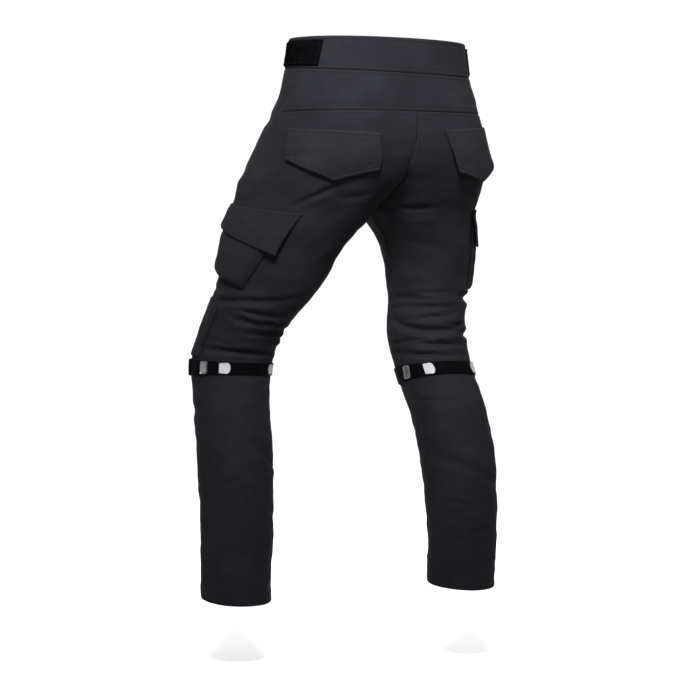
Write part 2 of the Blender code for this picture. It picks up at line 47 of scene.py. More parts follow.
YOKE_DROP = 0.119
CROTCH = 0.276
HEM = 0.985
HEM_DEPTH = 0.025
STRAP_WIDTH = 0.025
STRAP_DROP = {LEFT: 0.572, RIGHT: 0.557}
FULLNESS = 0.03
STEP = 0.0005
TURN_STEP = 0.4
GRAIN = 0.0034


def columns_of(names, rows):
    """A table with named columns, each an array."""
    return dict(zip(names.split(), np.array(rows, float).T))


# Sections of the hips and legs, as in the part's source: drop is the distance down the side seam.
HIPS = columns_of(
    "drop   z      x      wide_l wide_r front  back   y     close_f close_b lean_x lean_y ahead_l ahead_r",
    (
        (0.000, 0.000, 0.000, 0.152, 0.152, 0.112, 0.118, 0.000, 0.00, 0.000, -0.022, -0.078, 0.000, 0.000),
        (0.048, -0.051, 0.010, 0.159, 0.159, 0.116, 0.121, 0.000, 0.03, 0.030, -0.010, -0.109, 0.000, 0.000),
        (0.110, -0.110, 0.040, 0.172, 0.172, 0.121, 0.129, 0.000, 0.10, 0.140, -0.034, -0.072, 0.006, 0.000),
        (0.155, -0.161, 0.062, 0.187, 0.182, 0.123, 0.133, -0.002, 0.18, 0.240, -0.020, -0.045, 0.034, 0.000),
        (0.198, -0.206, 0.078, 0.198, 0.188, 0.122, 0.130, -0.008, 0.30, 0.420, -0.006, -0.025, 0.052, 0.002),
        (0.230, -0.234, 0.088, 0.205, 0.190, 0.118, 0.124, -0.014, 0.50, 0.660, 0.000, -0.035, 0.062, 0.006),
        (0.252, -0.252, 0.092, 0.207, 0.190, 0.114, 0.118, -0.020, 0.73, 0.840, 0.000, -0.050, 0.064, 0.008),
        (0.267, -0.264, 0.094, 0.208, 0.190, 0.111, 0.114, -0.025, 0.91, 0.945, 0.000, -0.060, 0.064, 0.010),
        (CROTCH, -0.271, 0.095, 0.209, 0.190, 0.109, 0.111, -0.028, 1.00, 1.000, 0.000, -0.070, 0.064, 0.010),
    ),
)
LEG_COLUMNS = "drop x y z out inner front back lean_x lean_y ahead"
LEGS = {
    LEFT: columns_of(
        LEG_COLUMNS,
        (
            (0.330, 0.132, -0.058, -0.327, 0.082, 0.089, 0.090, 0.088, 0.08, -0.20, 0.044),
            (0.385, 0.144, -0.085, -0.380, 0.078, 0.079, 0.082, 0.074, 0.14, -0.32, 0.024),
            (0.445, 0.158, -0.118, -0.435, 0.071, 0.059, 0.072, 0.064, 0.16, -0.36, 0.006),
            (0.505, 0.171, -0.155, -0.484, 0.068, 0.061, 0.070, 0.064, 0.10, -0.22, 0.000),
            (0.560, 0.180, -0.176, -0.532, 0.068, 0.067, 0.071, 0.066, 0.03, -0.04, 0.000),
            (0.620, 0.184, -0.169, -0.592, 0.065, 0.062, 0.068, 0.066, 0.00, 0.08, 0.000),
            (0.720, 0.189, -0.150, -0.685, 0.063, 0.063, 0.064, 0.066, 0.00, 0.10, 0.000),
            (0.850, 0.197, -0.127, -0.800, 0.060, 0.061, 0.061, 0.062, 0.00, 0.00, 0.000),
            (HEM, 0.206, -0.112, -0.927, 0.057, 0.056, 0.060, 0.060, 0.00, -0.10, 0.000),
        ),
    ),
    RIGHT: columns_of(
        LEG_COLUMNS,
        (
            (0.330, 0.118, -0.036, -0.329, 0.073, 0.078, 0.092, 0.092, 0.00, -0.06, 0.006),
            (0.410, 0.128, -0.046, -0.412, 0.063, 0.066, 0.078, 0.072, 0.00, -0.06, 0.000),
            (0.500, 0.130, -0.050, -0.497, 0.064, 0.066, 0.070, 0.069, 0.00, 0.02, 0.000),
            (0.560, 0.135, -0.034, -0.555, 0.063, 0.061, 0.067, 0.066, 0.00, 0.16, 0.000),
            (0.620, 0.141, -0.004, -0.612, 0.061, 0.062, 0.065, 0.064, 0.00, 0.22, 0.000),
            (0.720, 0.146, 0.021, -0.700, 0.061, 0.062, 0.064, 0.063, 0.00, 0.18, 0.000),
            (0.850, 0.146, 0.034, -0.810, 0.057, 0.058, 0.060, 0.059, 0.00, 0.06, 0.000),
            (HEM, 0.148, 0.026, -0.907, 0.055, 0.055, 0.058, 0.058, 0.00, -0.12, 0.000),
        ),
    ),
}
# Folds: reach is half the length in degrees, width the half width down the leg, depth the trough's
# depth, sag how far the ends rise, tilt how far it climbs. The last rows are finer creases.
FOLD_COLUMNS = "turn drop reach width depth sag tilt"
FOLDS = {
    LEFT: columns_of(
        FOLD_COLUMNS,
        (
            (46, 0.433, 86, 0.009, 0.0045, 0.000, -0.038),
            (70, 0.450, 70, 0.008, 0.0042, 0.002, -0.006),
            (66, 0.470, 60, 0.009, 0.0045, 0.018, -0.004),
            (112, 0.482, 64, 0.010, 0.0060, 0.000, -0.010),
            (132, 0.510, 48, 0.009, -0.0030, 0.000, 0.000),
            (72, 0.537, 94, 0.010, 0.0060, 0.000, -0.004),
            (-60, 0.160, 40, 0.012, 0.0040, 0.004, 0.020),
            (-48, 0.120, 36, 0.010, 0.0035, 0.004, 0.016),
            (-52, 0.205, 42, 0.014, 0.0045, 0.006, 0.020),
            (66, 0.259, 20, 0.010, 0.0035, 0.000, -0.030),
            (96, 0.262, 20, 0.009, 0.0020, 0.002, -0.006),
            (120, 0.725, 50, 0.014, 0.0035, 0.000, 0.034),
            (60, 0.775, 46, 0.016, 0.0025, 0.000, -0.026),
            (-30, 0.640, 60, 0.016, 0.0025, 0.006, 0.010),
            (20, 0.446, 34, 0.0045, 0.0018, 0.000, -0.006),
            (98, 0.440, 40, 0.0045, 0.0020, 0.004, -0.004),
            (50, 0.462, 34, 0.0050, 0.0020, 0.004, 0.006),
            (88, 0.460, 40, 0.0045, 0.0020, 0.003, 0.002),
            (84, 0.494, 40, 0.0050, 0.0020, 0.003, -0.006),
            (118, 0.498, 40, 0.0045, 0.0020, 0.003, -0.003),
            (108, 0.524, 44, 0.0050, 0.0018, -0.002, 0.003),
            (40, 0.522, 36, 0.0050, 0.0016, 0.002, 0.004),
            (-20, 0.440, 40, 0.0060, 0.0016, 0.002, -0.010),
            (130, 0.738, 36, 0.0080, 0.0028, 0.000, 0.022),
            (112, 0.756, 30, 0.0060, 0.0018, 0.000, 0.016),
            (70, 0.752, 30, 0.0070, 0.0010, 0.000, -0.012),
            (140, 0.835, 34, 0.0080, 0.0012, 0.000, 0.020),
            (40, 0.900, 40, 0.0090, 0.0011, 0.003, -0.012),
            (150, 0.310, 26, 0.0070, 0.0012, 0.002, 0.012),
            (132, 0.345, 30, 0.0080, 0.0013, 0.002, 0.012),
        ),
    ),
    RIGHT: columns_of(
        FOLD_COLUMNS,
        (
            (40, 0.420, 46, 0.010, 0.0070, 0.004, -0.004),
            (142, 0.422, 46, 0.008, 0.0035, 0.000, -0.002),
            (118, 0.437, 62, 0.009, 0.0045, 0.002, -0.002),
            (104, 0.453, 38, 0.008, 0.0035, 0.000, 0.003),
            (116, 0.483, 90, 0.011, 0.0065, 0.038, -0.002),
            (44, 0.488, 50, 0.009, 0.0050, 0.004, -0.006),
            (98, 0.509, 66, 0.010, 0.0060, 0.000, 0.000),
            (122, 0.530, 80, 0.009, 0.0055, 0.006, -0.006),
            (128, 0.279, 32, 0.009, 0.0040, 0.002, 0.001),
            (118, 0.735, 56, 0.014, 0.0030, 0.000, -0.030),
            (60, 0.765, 40, 0.016, 0.0025, 0.000, -0.020),
            (-60, 0.150, 40, 0.012, 0.0025, 0.004, 0.014),
            (120, 0.411, 40, 0.0050, 0.0020, 0.003, 0.003),
            (84, 0.446, 34, 0.0045, 0.0020, 0.002, 0.000),
            (138, 0.460, 40, 0.0050, 0.0022, 0.006, 0.006),
            (80, 0.468, 40, 0.0050, 0.0020, 0.006, -0.004),
            (130, 0.498, 44, 0.0050, 0.0022, 0.004, 0.006),
            (66, 0.500, 36, 0.0045, 0.0018, 0.004, -0.003),
            (92, 0.521, 44, 0.0045, 0.0020, 0.002, -0.003),
            (170, 0.505, 36, 0.0060, 0.0022, 0.002, 0.004),
            (172, 0.440, 34, 0.0060, 0.0020, 0.002, 0.004),
            (126, 0.291, 30, 0.0060, 0.0022, 0.002, 0.002),
            (66, 0.246, 22, 0.0060, 0.0012, 0.002, 0.006),
            (122, 0.806, 38, 0.0065, 0.0030, 0.000, -0.014),
            (104, 0.820, 30, 0.0060, 0.0018, 0.000, -0.012),
            (150, 0.612, 30, 0.0060, 0.0020, 0.000, -0.006),
            (90, 0.860, 40, 0.0090, 0.0012, 0.002, 0.014),
            (140, 0.330, 28, 0.0080, 0.0012, 0.002, -0.010),
        ),
    ),
}
# Slight waves that any worn cloth has: how far apart along the drop and round, height, and phase.
WAVES = columns_of(
    "down  round  height phase slant",
    (
        (0.061, 0.140, 0.00045, 0.3, 0.35),
        (0.038, 0.090, 0.00034, 1.9, -0.50),
        (0.083, 0.060, 0.00040, 4.1, 0.80),
        (0.027, 0.075, 0.00022, 2.7, 0.60),
        (0.019, 0.048, 0.00014, 5.2, -0.90),
        (0.130, 0.110, 0.00060, 0.9, -0.20),
    ),
)


def side_sections(side):
    """The hips' and one leg's sections in one table."""
    tail = "_l" if side == LEFT else "_r"
    legs = dict(LEGS[side])
    legs["close_f"] = legs["close_b"] = np.ones(len(legs["drop"]))
    hips = dict(HIPS, out=HIPS["wide" + tail] - HIPS["x"], inner=HIPS["x"], ahead=HIPS["ahead" + tail])
    return {name: np.concatenate([hips[name], legs[name]]) for name in legs}


SECTIONS = {side: side_sections(side) for side in WORDS}


def slopes(drops, values):
    """The slope of a column at each row, from the rows on each side of it."""
    gaps = np.diff(drops)
    rise = np.diff(values) / gaps
    middle = (rise[:-1] * gaps[1:] + rise[1:] * gaps[:-1]) / (gaps[:-1] + gaps[1:])
    return np.concatenate([rise[:1], middle, rise[-1:]])


SLOPES = {
    side: {name: slopes(rows["drop"], values) for name, values in rows.items()} for side, rows in SECTIONS.items()
}


def section(side, drop):
    """The sections at an array of drops, on a smooth curve through the table's rows."""
    rows = SECTIONS[side]
    drops = rows["drop"]
    first = np.clip(np.searchsorted(drops, drop, "right") - 1, 0, len(drops) - 2)
    gap = drops[first + 1] - drops[first]
    u = (drop - drops[first]) / gap
    start, end = 2 * u**3 - 3 * u**2 + 1, 3 * u**2 - 2 * u**3
    leave, arrive = u**3 - 2 * u**2 + u, u**3 - u**2
    found = {}
    for name, values in rows.items():
        slope = SLOPES[side][name]
        found[name] = start * values[first] + end * values[first + 1]
        found[name] = found[name] + gap * (leave * slope[first] + arrive * slope[first + 1])
    return found


def end_turn(side, drop, behind):
    """The turn where a panel ends: at the middle plane above the crotch, at the inseam below it."""
    drop = np.asarray(drop, float)
    closed = np.clip(section(side, drop)["close_b" if behind else "close_f"], 0, 1)
    return np.where(drop >= CROTCH, 180.0, np.degrees(np.arccos(-closed)))


def form(side, drop, turn):
    """Points of the surface before its folds."""
    drop, turn = np.broadcast_arrays(np.asarray(drop, float), np.asarray(turn, float))
    row = section(side, drop)
    behind, low = turn >= 0, drop >= CROTCH
    angle = np.radians(np.abs(turn))
    depth = np.where(behind, row["back"], -row["front"])
    closed = np.clip(np.where(behind, row["close_b"], row["close_f"]), 1e-6, 1.0)
    inner = np.where(low, row["inner"], row["x"] / closed)
    outer = np.cos(angle) >= 0
    full = np.where(outer, 1 + FULLNESS * np.sin(2 * angle) ** 2, 1.0)
    across = row["x"] + np.where(outer, row["out"], inner) * np.cos(angle) * full
    along = depth * np.sin(angle) * full
    inside = np.where(low, row["x"] - row["inner"], 0.0)
    share = np.maximum((across - inside) / (row["x"] + row["out"] - inside), 0.0)
    lean_from = np.where(low, row["x"], 0.0)
    y = row["y"] + along - row["ahead"] * share**1.4
    z = row["z"] + row["lean_x"] * side * (across - lean_from) + row["lean_y"] * along
    return np.stack([side * across, y, z], -1)


def unit(vectors):
    return vectors / np.maximum(np.linalg.norm(vectors, axis=-1, keepdims=True), 1e-12)


def outward(side, drop, turn):
    """The unit normals that point out of the garment."""
    drop = np.asarray(drop, float)
    down = form(side, np.minimum(drop + STEP, HEM), turn) - form(side, np.maximum(drop - STEP, 0.0), turn)
    around = form(side, drop, turn + TURN_STEP) - form(side, drop, turn - TURN_STEP)
    return unit(side * np.cross(down, around))


def smooth(value):
    """A step from 0 to 1 with no corner."""
    value = np.clip(value, 0.0, 1.0)
    return value * value * (3 - 2 * value)


def relief(side, drop, turn):
    """How far folds and slight waves push the cloth. A strap holds it flat beneath it."""
    folds = FOLDS[side]
    push = np.zeros(np.broadcast(drop, turn).shape)
    for k in range(len(folds["drop"])):
        q = ((turn - folds["turn"][k] + 180) % 360 - 180) / folds["reach"][k]
        q = np.clip(q, -1, 1)
        w = (drop - folds["drop"][k] + folds["sag"][k] * q * q - folds["tilt"][k] * q) / folds["width"][k]
        push = push - folds["depth"][k] * (1 - 1.4 * w * w) * np.exp(-w * w) * (1 - q * q) ** 2
    round_ = 0.075 * np.radians(np.abs(turn))
    for k in range(len(WAVES["down"])):
        angle = 2 * np.pi * (drop / WAVES["down"][k] + WAVES["slant"][k] * round_ / WAVES["round"][k])
        swell = np.cos(2 * np.pi * round_ / WAVES["round"][k] + 3.1 * side + drop * 9)
        calm = smooth((drop - 0.01) / 0.10)
        push = push + calm * WAVES["height"][k] * np.sin(angle + WAVES["phase"][k] + 1.7 * side) * swell
    away = np.abs(drop - STRAP_DROP[side]) - STRAP_WIDTH / 2 - 0.003
    return push * smooth(away / 0.012) + np.where(drop > HEM - HEM_DEPTH, 0.0006, 0.0)


def place(side, drop, turn, out=0.0):
    """Points on the folded cloth, moved out along the normal."""
    drop, turn = np.broadcast_arrays(np.asarray(drop, float), np.asarray(turn, float))
    normal, point = outward(side, drop, turn), form(side, drop, turn)
    middle = np.abs(point[..., 0]) < 1e-5
    point[..., 0] = np.where(middle, 0.0, point[..., 0])
    normal[..., 0] = np.where(middle, 0.0, normal[..., 0])
    normal = unit(normal)
    return point + normal * (relief(side, drop, turn) + out)[..., None]


# A sewn edge seen across it: distance in from the edge, and how far the face lies off its plane.
# It rolls under at the seam, swells over the seam allowance and dips at the topstitching.
EDGE = columns_of(
    "inset  off",
    (
        (0.0000, -0.00110),
        (0.0006, -0.00055),
        (0.0013, -0.00016),
        (0.0024, 0.00016),
        (0.0038, 0.00022),
        (0.0050, 0.00002),
        (0.0060, -0.00034),
        (0.0070, -0.00004),
        (0.0086, 0.00016),
        (0.0110, 0.00006),
        (0.0150, 0.00000),
    ),
)
PUCKER = 0.00016


def edge_off(inset, along):
    """How far a sewn edge moves the face, with the stitches' slight pucker along it."""
    ease = np.exp(-(((inset - 0.004) / 0.007) ** 2))
    ripple = np.sin(along * 2 * np.pi / 0.0095) + 0.7 * np.sin(along * 2 * np.pi / 0.0143 + 1.0)
    return np.interp(inset, EDGE["inset"], EDGE["off"]) + PUCKER * ease * ripple


def spaced(length, grain):
    """Distances from one sewn edge to the other: close at both edges and even between them."""
    near = EDGE["inset"]
    count = max(int(round((length - 2 * near[-1]) / grain)), 2)
    middle = np.linspace(near[-1], length - near[-1], count + 1)[1:-1]
    return np.concatenate([near, middle, length - near[::-1]])


def lengths_along(points, axis):
    """Distances walked along one axis of a grid of points."""
    steps = np.linalg.norm(np.diff(points, axis=axis), axis=-1)
    start = np.zeros_like(np.take(steps, [0], axis=axis))
    return np.concatenate([start, np.cumsum(steps, axis=axis)], axis=axis)


def shell(name, outer, inner, uv, finishes, ring=False):
    """A closed sheet between two grids of points, with a UV map in metres. The inner face and the
    outer one each have their own material."""
    rows, columns = outer.shape[:2]
    index = np.arange(rows * columns).reshape(rows, columns)
    if ring:
        index = np.concatenate([index, index[:, :1]], axis=1)
    a, b, c, d = index[:-1, :-1], index[:-1, 1:], index[1:, 1:], index[1:, :-1]
    front = np.stack([a, b, c, d], -1).reshape(-1, 4)
    back = front[:, ::-1] + rows * columns
    rims = []
    for line, turned in ((index[0], False), (index[-1], True)):
        rims.append(_rim(line, rows * columns, turned))
    if not ring:
        rims.append(_rim(index[:, 0], rows * columns, True))
        rims.append(_rim(index[:, -1], rows * columns, False))
    faces = np.concatenate([front, back] + rims)
    points = np.concatenate([outer.reshape(-1, 3), inner.reshape(-1, 3)])
    corners = points[faces]
    volume = (corners[:, 0] * np.cross(corners[:, 1], corners[:, 2])).sum()
    volume += (corners[:, 0] * np.cross(corners[:, 2], corners[:, 3])).sum()
    if volume < 0:
        faces = faces[:, ::-1]
    mesh = bpy.data.meshes.new(name)
    mesh.from_pydata(points.tolist(), [], faces.tolist())
    layer = mesh.uv_layers.new(name="cloth")
    both = np.concatenate([uv.reshape(-1, 2), uv.reshape(-1, 2)])
    layer.uv.foreach_set("vector", both[faces.reshape(-1)].astype(np.float32).reshape(-1))
    slots = np.zeros(len(faces), np.int32)
    slots[len(front) : 2 * len(front)] = 1
    for finish in finishes:
        mesh.materials.append(finish)
    mesh.polygons.foreach_set("material_index", np.minimum(slots, len(finishes) - 1))
    mesh.update()
    mesh.shade_smooth()
    mesh.set_sharp_from_angle(angle=math.radians(50))
    obj = bpy.data.objects.new(name, mesh)
    bpy.context.scene.collection.objects.link(obj)
    return obj


def _rim(line, back, turned):
    """The faces that close a sheet along one edge."""
    faces = np.stack([line[:-1], line[:-1] + back, line[1:] + back, line[1:]], -1)
    return faces[:, ::-1] if turned else faces


def nodes_of(name, colour, roughness, metallic=0.0):
    """A new material, its nodes, its links and its shader."""
    made = bpy.data.materials.new(name)
    made.use_nodes = True
    made.diffuse_color = (*colour, 1.0)
    nodes, links = made.node_tree.nodes, made.node_tree.links
    shader = nodes["Principled BSDF"]
    shader.inputs["Base Color"].default_value = (*colour, 1.0)
    shader.inputs["Roughness"].default_value = roughness
    shader.inputs["Metallic"].default_value = metallic
    return made, nodes, links, shader


def mix_colours(nodes, links, factor, first, second):
    """A colour between two, by a factor's output."""
    mixer = nodes.new("ShaderNodeMix")
    mixer.data_type = "RGBA"
    for socket, colour in ((mixer.inputs[6], first), (mixer.inputs[7], second)):
        if isinstance(colour, tuple):
            socket.default_value = (*colour, 1.0)
        else:
            links.new(colour, socket)
    links.new(factor, mixer.inputs[0])
    return mixer.outputs[2]


def noise(nodes, links, where, scale, detail=2.0, rough=0.5, stretch=None):
    """A noise texture read at a coordinate, stretched along its axes if asked."""
    if stretch:
        mapping = nodes.new("ShaderNodeMapping")
        mapping.inputs["Scale"].default_value = stretch
        links.new(where, mapping.inputs["Vector"])
        where = mapping.outputs["Vector"]
    texture = nodes.new("ShaderNodeTexNoise")
    texture.inputs["Scale"].default_value = scale
    texture.inputs["Detail"].default_value = detail
    texture.inputs["Roughness"].default_value = rough
    links.new(where, texture.inputs["Vector"])
    return texture.outputs["Fac"]


def bands(nodes, links, where, period, direction, distortion=0.0):
    """Sine bands a period apart, in metres."""
    texture = nodes.new("ShaderNodeTexWave")
    texture.bands_direction = direction
    texture.inputs["Scale"].default_value = math.pi / (10 * period)
    texture.inputs["Distortion"].default_value = distortion
    texture.inputs["Detail"].default_value = 1.0
    links.new(where, texture.inputs["Vector"])
    return texture.outputs["Fac"]


def math_node(nodes, links, operation, first, second):
    node = nodes.new("ShaderNodeMath")
    node.operation = operation
    for socket, value in ((node.inputs[0], first), (node.inputs[1], second)):
        if isinstance(value, (int, float)):
            socket.default_value = value
        else:
            links.new(value, socket)
    return node.outputs[0]


def ramp(nodes, links, factor, low, high, to_low=0.0, to_high=1.0):
    node = nodes.new("ShaderNodeMapRange")
    node.inputs["From Min"].default_value = low
    node.inputs["From Max"].default_value = high
    node.inputs["To Min"].default_value = to_low
    node.inputs["To Max"].default_value = to_high
    links.new(factor, node.inputs["Value"])
    return node.outputs["Result"]


def bump(nodes, links, shader, height, distance, strength=1.0, under=None):
    node = nodes.new("ShaderNodeBump")
    node.inputs["Distance"].default_value = distance
    node.inputs["Strength"].default_value = strength
    links.new(height, node.inputs["Height"])
    if under:
        links.new(under, node.inputs["Normal"])
    links.new(node.outputs["Normal"], shader.inputs["Normal"])
    return node.outputs["Normal"]


def softshell(name, dark, light, sheen):
    """A fine matt stretch weave. Its colour drifts a little over the garment, the crests of the weave's crossing
    threads carry a painted highlight, and specks of lint catch the light."""
    made, nodes, links, shader = nodes_of(name, light, 0.8)
    shader.inputs["Sheen Weight"].default_value = sheen
    shader.inputs["Sheen Roughness"].default_value = 0.45
    shader.inputs["Sheen Tint"].default_value = (0.75, 0.80, 0.92, 1.0)
    shader.inputs["Specular IOR Level"].default_value = 0.02
    at = nodes.new("ShaderNodeTexCoord")
    woven = nodes.new("ShaderNodeUVMap")
    woven.uv_map = "cloth"
    warp = bands(nodes, links, woven.outputs["UV"], 0.00074, "X", 0.4)
    weft = bands(nodes, links, woven.outputs["UV"], 0.00062, "Y", 0.4)
    weave = math_node(nodes, links, "MULTIPLY", warp, weft)
    slub = noise(nodes, links, woven.outputs["UV"], 900.0, 3.0, 0.6, (1.0, 0.16, 1.0))
    drift = noise(nodes, links, at.outputs["Object"], 14.0, 4.0, 0.55)
    wear = ramp(nodes, links, noise(nodes, links, at.outputs["Object"], 60.0, 5.0, 0.6), 0.35, 0.75)
    ground = mix_colours(nodes, links, ramp(nodes, links, drift, 0.3, 0.7), dark, light)
    # Painted highlight: where the weave pattern stands high, the crossing threads' crests are mixed toward this
    # lighter colour.
    top = tuple(c * 1.5 + 0.001 for c in light)
    threads = mix_colours(nodes, links, math_node(nodes, links, "MULTIPLY", weave, 0.55), ground, top)
    lint = ramp(nodes, links, noise(nodes, links, at.outputs["Object"], 420.0, 2.0, 0.6), 0.70, 0.78, 0.0, 0.3)
    final = mix_colours(nodes, links, lint, threads, tuple(c * 2.4 + 0.006 for c in light))
    links.new(final, shader.inputs["Base Color"])
    links.new(ramp(nodes, links, math_node(nodes, links, "ADD", wear, slub), 0.4, 1.4, 0.66, 0.88), shader.inputs["Roughness"])
    rough = noise(nodes, links, at.outputs["Object"], 240.0, 3.0, 0.6)
    fine = bump(nodes, links, shader, rough, 0.00022)
    height = math_node(nodes, links, "ADD", weave, math_node(nodes, links, "MULTIPLY", slub, 0.8))
    bump(nodes, links, shader, height, 0.00012, under=fine)
    return made


def fleece(name):
    """The brushed inner face of the bonded cloth: short dark pile, with a painted highlight where the pile stands
    highest.
    """
    made, nodes, links, shader = nodes_of(name, (0.009, 0.0093, 0.0108), 0.95)
    shader.inputs["Specular IOR Level"].default_value = 0.08
    shader.inputs["Sheen Weight"].default_value = 0.025
    shader.inputs["Sheen Roughness"].default_value = 0.6
    at = nodes.new("ShaderNodeTexCoord")
    pile = noise(nodes, links, at.outputs["Object"], 1100.0, 3.0, 0.7)
    tufts = noise(nodes, links, at.outputs["Object"], 260.0, 3.0, 0.6)
    mixed = math_node(nodes, links, "MULTIPLY", pile, tufts)
    # Painted highlight: the colour is lighter where the pile's bump height is greater.
    colour = mix_colours(nodes, links, ramp(nodes, links, mixed, 0.12, 0.42), (0.0045, 0.0046, 0.0055), (0.0150, 0.0155, 0.0175))
    links.new(colour, shader.inputs["Base Color"])
    bump(nodes, links, shader, mixed, 0.0006)
    return made


SHELL = softshell("softshell", (0.0029, 0.0030, 0.0038), (0.0046, 0.0048, 0.0060), 0.002)
INSIDE = fleece("fleece_inside")


def thread_material(name, colour):
    """Spun sewing thread: twisted, faintly glossy, with a painted highlight along the ridges of its twist."""
    made, nodes, links, shader = nodes_of(name, colour, 0.5)
    shader.inputs["Specular IOR Level"].default_value = 0.04
    at = nodes.new("ShaderNodeTexCoord")
    twist = bands(nodes, links, at.outputs["Object"], 0.00045, "DIAGONAL", 0.6)
    # Painted highlight: the ridges of the twist are mixed toward a lighter colour.
    light = tuple(c * 1.9 for c in colour)
    links.new(mix_colours(nodes, links, twist, colour, light), shader.inputs["Base Color"])
    bump(nodes, links, shader, twist, 0.00008)
    return made


THREAD = thread_material("black_thread", (0.0016, 0.0016, 0.0020))

# One stitch: a short thread, thick in the middle, its ends pulled down into the cloth. It is made
# once, read as arrays and laid again and again along each line.
STITCH_LENGTH = 0.0027
STITCH_PITCH = 0.0034
bpy.ops.object.select_all(action="DESELECT")
bpy.ops.mesh.primitive_uv_sphere_add(segments=6, ring_count=4, radius=1.0, location=(0, 0, 0), rotation=(0, math.pi / 2, 0))
stitch = bpy.context.object
stitch.name = "stitch_pattern"
stitch.scale = (0.00030, 0.00034, STITCH_LENGTH / 2)
bpy.ops.object.transform_apply(location=False, rotation=True, scale=True)
STITCH_POINTS = np.array([tuple(v.co) for v in stitch.data.vertices])
STITCH_FACES = [tuple(face.vertices) for face in stitch.data.polygons]
bpy.data.objects.remove(stitch, do_unlink=True)


def sew(name, lines, pitch=STITCH_PITCH, size=1.0):
    """Stitches along lines of points. Each line comes with the cloth's normals along it."""
    points, faces = [], []
    for line, normals in lines:
        walked = lengths_along(line, 0)
        count = int(walked[-1] / pitch)
        if count < 1:
            continue
        centres = (np.arange(count) + 0.5) * walked[-1] / count
        at = np.stack([np.interp(centres, walked, line[:, k]) for k in range(3)], -1)
        ahead = np.stack([np.interp(centres + 0.0008, walked, line[:, k]) for k in range(3)], -1)
        behind = np.stack([np.interp(centres - 0.0008, walked, line[:, k]) for k in range(3)], -1)
        up = unit(np.stack([np.interp(centres, walked, normals[:, k]) for k in range(3)], -1))
        along = unit(ahead - behind)
        side = unit(np.cross(up, along))
        up = np.cross(along, side)
        for centre, x, y, z in zip(at + up * 0.00012, along, side, up):
            base = len(points)
            points.extend(centre + size * (STITCH_POINTS @ np.stack([x, y, z])))
            faces.extend(tuple(base + i for i in face) for face in STITCH_FACES)
    mesh = bpy.data.meshes.new(name)
    mesh.from_pydata([tuple(p) for p in points], [], faces)
    mesh.materials.append(THREAD)
    mesh.update()
    mesh.shade_smooth()
    obj = bpy.data.objects.new(name, mesh)
    bpy.context.scene.collection.objects.link(obj)
    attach(obj, "root")
    return obj


def panel_turns(side, drop, insets, behind):
    """Turns that lie given distances from the side seam, for each drop. insets is (drops, columns)."""
    sign = 1 if behind else -1
    ends = end_turn(side, drop, behind)
    turns = ends[:, None] * np.linspace(0, 1, 200)
    walked = lengths_along(form(side, drop[:, None], sign * turns), 1)
    found = [np.interp(inset, length, turn) for inset, length, turn in zip(insets(walked[:, -1]), walked, turns)]
    return sign * np.array(found), walked[:, -1]


def panel(name, side, behind, top, bottom, thread_lines):
    """One main piece between two drops, with its topstitching."""
    top_edge = top + HALF_SEAM
    low_edge = bottom if bottom == HEM else bottom - HALF_SEAM
    drops = top_edge + spaced(low_edge - top_edge, GRAIN)
    widest = 0.26
    plan = spaced(widest, GRAIN)
    middle = (plan[11:-11] - plan[10]) / (plan[-11] - plan[10])

    def insets(lengths):
        whole = lengths[:, None] - 2 * HALF_SEAM
        near = np.repeat(EDGE["inset"][None], len(lengths), 0)
        between = near[:, -1:] + middle[None] * (whole - 2 * near[:, -1:])
        return HALF_SEAM + np.concatenate([near, between, whole - near[:, ::-1]], 1)

    turns, lengths = panel_turns(side, drops, insets, behind)
    from_side = insets(lengths) - HALF_SEAM
    from_inner = lengths[:, None] - HALF_SEAM * 2 - from_side
    rows = drops[:, None]
    from_top, from_hem = rows - top_edge, HEM - rows
    off = edge_off(from_side, rows) + edge_off(from_inner, rows)
    if top < HEM - 0.5:
        off = off + edge_off(from_top, from_side) * smooth(from_side / 0.004) * smooth(from_inner / 0.004)
    # The hem: its edge rounds under, and the stitches that hold the turn-up draw a groove.
    off = off - 0.0010 * (1 - smooth(from_hem / 0.0022)) - 0.0004 * np.exp(-(((from_hem - 0.021) / 0.0013) ** 2))
    off = off + 0.00025 * np.sin(from_side * 2 * np.pi / 0.021) * np.exp(-(((from_hem - 0.012) / 0.012) ** 2))
    shift = np.array([side * HALF_SEAM, 0, 0])
    outer = place(side, rows, turns, off) + shift
    thick = CLOTH + 0.0012 * (rows > HEM - HEM_DEPTH)
    inner = place(side, rows, turns, np.minimum(off, 0.0) - thick) + shift
    uv = np.stack([from_side, np.broadcast_to(rows, from_side.shape)], -1)
    obj = shell("sewn_" + name, outer, inner, uv, (SHELL, INSIDE))
    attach(obj, "root")
    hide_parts(name)
    lines = []
    sign = 1 if behind else -1
    for kind, inset, start, end in thread_lines:
        if kind == "round" and bottom < HEM:
            continue
        if kind == "round":
            line_drops = np.full(160, start)
            whole = end_turn(side, line_drops, behind)
            line_turns = np.linspace(0.02, 0.98, 160) * whole * sign
        else:
            line_drops = np.arange(max(start, top_edge), min(end, low_edge), 0.002)

            def one(lengths, inset=inset, kind=kind):
                return (lengths - HALF_SEAM - inset if kind == "inner" else lengths * 0 + HALF_SEAM + inset)[:, None]

            line_turns = panel_turns(side, line_drops, one, behind)[0][:, 0]
        lies = np.interp(inset, EDGE["inset"], EDGE["off"]) if kind != "round" else inset
        line = place(side, line_drops, line_turns, lies) + shift
        lines.append((line, outward(side, line_drops, line_turns)))
    threads = sew("topstitching_" + name, lines)
    return obj


SEAT_LINES = [("side", 0.006, 0.13, 0.97), ("inner", 0.006, 0.13, 0.965), ("round", -0.0004, HEM - 0.021, 0)]
for side in WORDS:
    knee = STRAP_DROP[side]
    panel("back_" + WORDS[side], side, True, YOKE_DROP, knee, SEAT_LINES)
    panel("lower_back_" + WORDS[side], side, True, knee, HEM, SEAT_LINES)

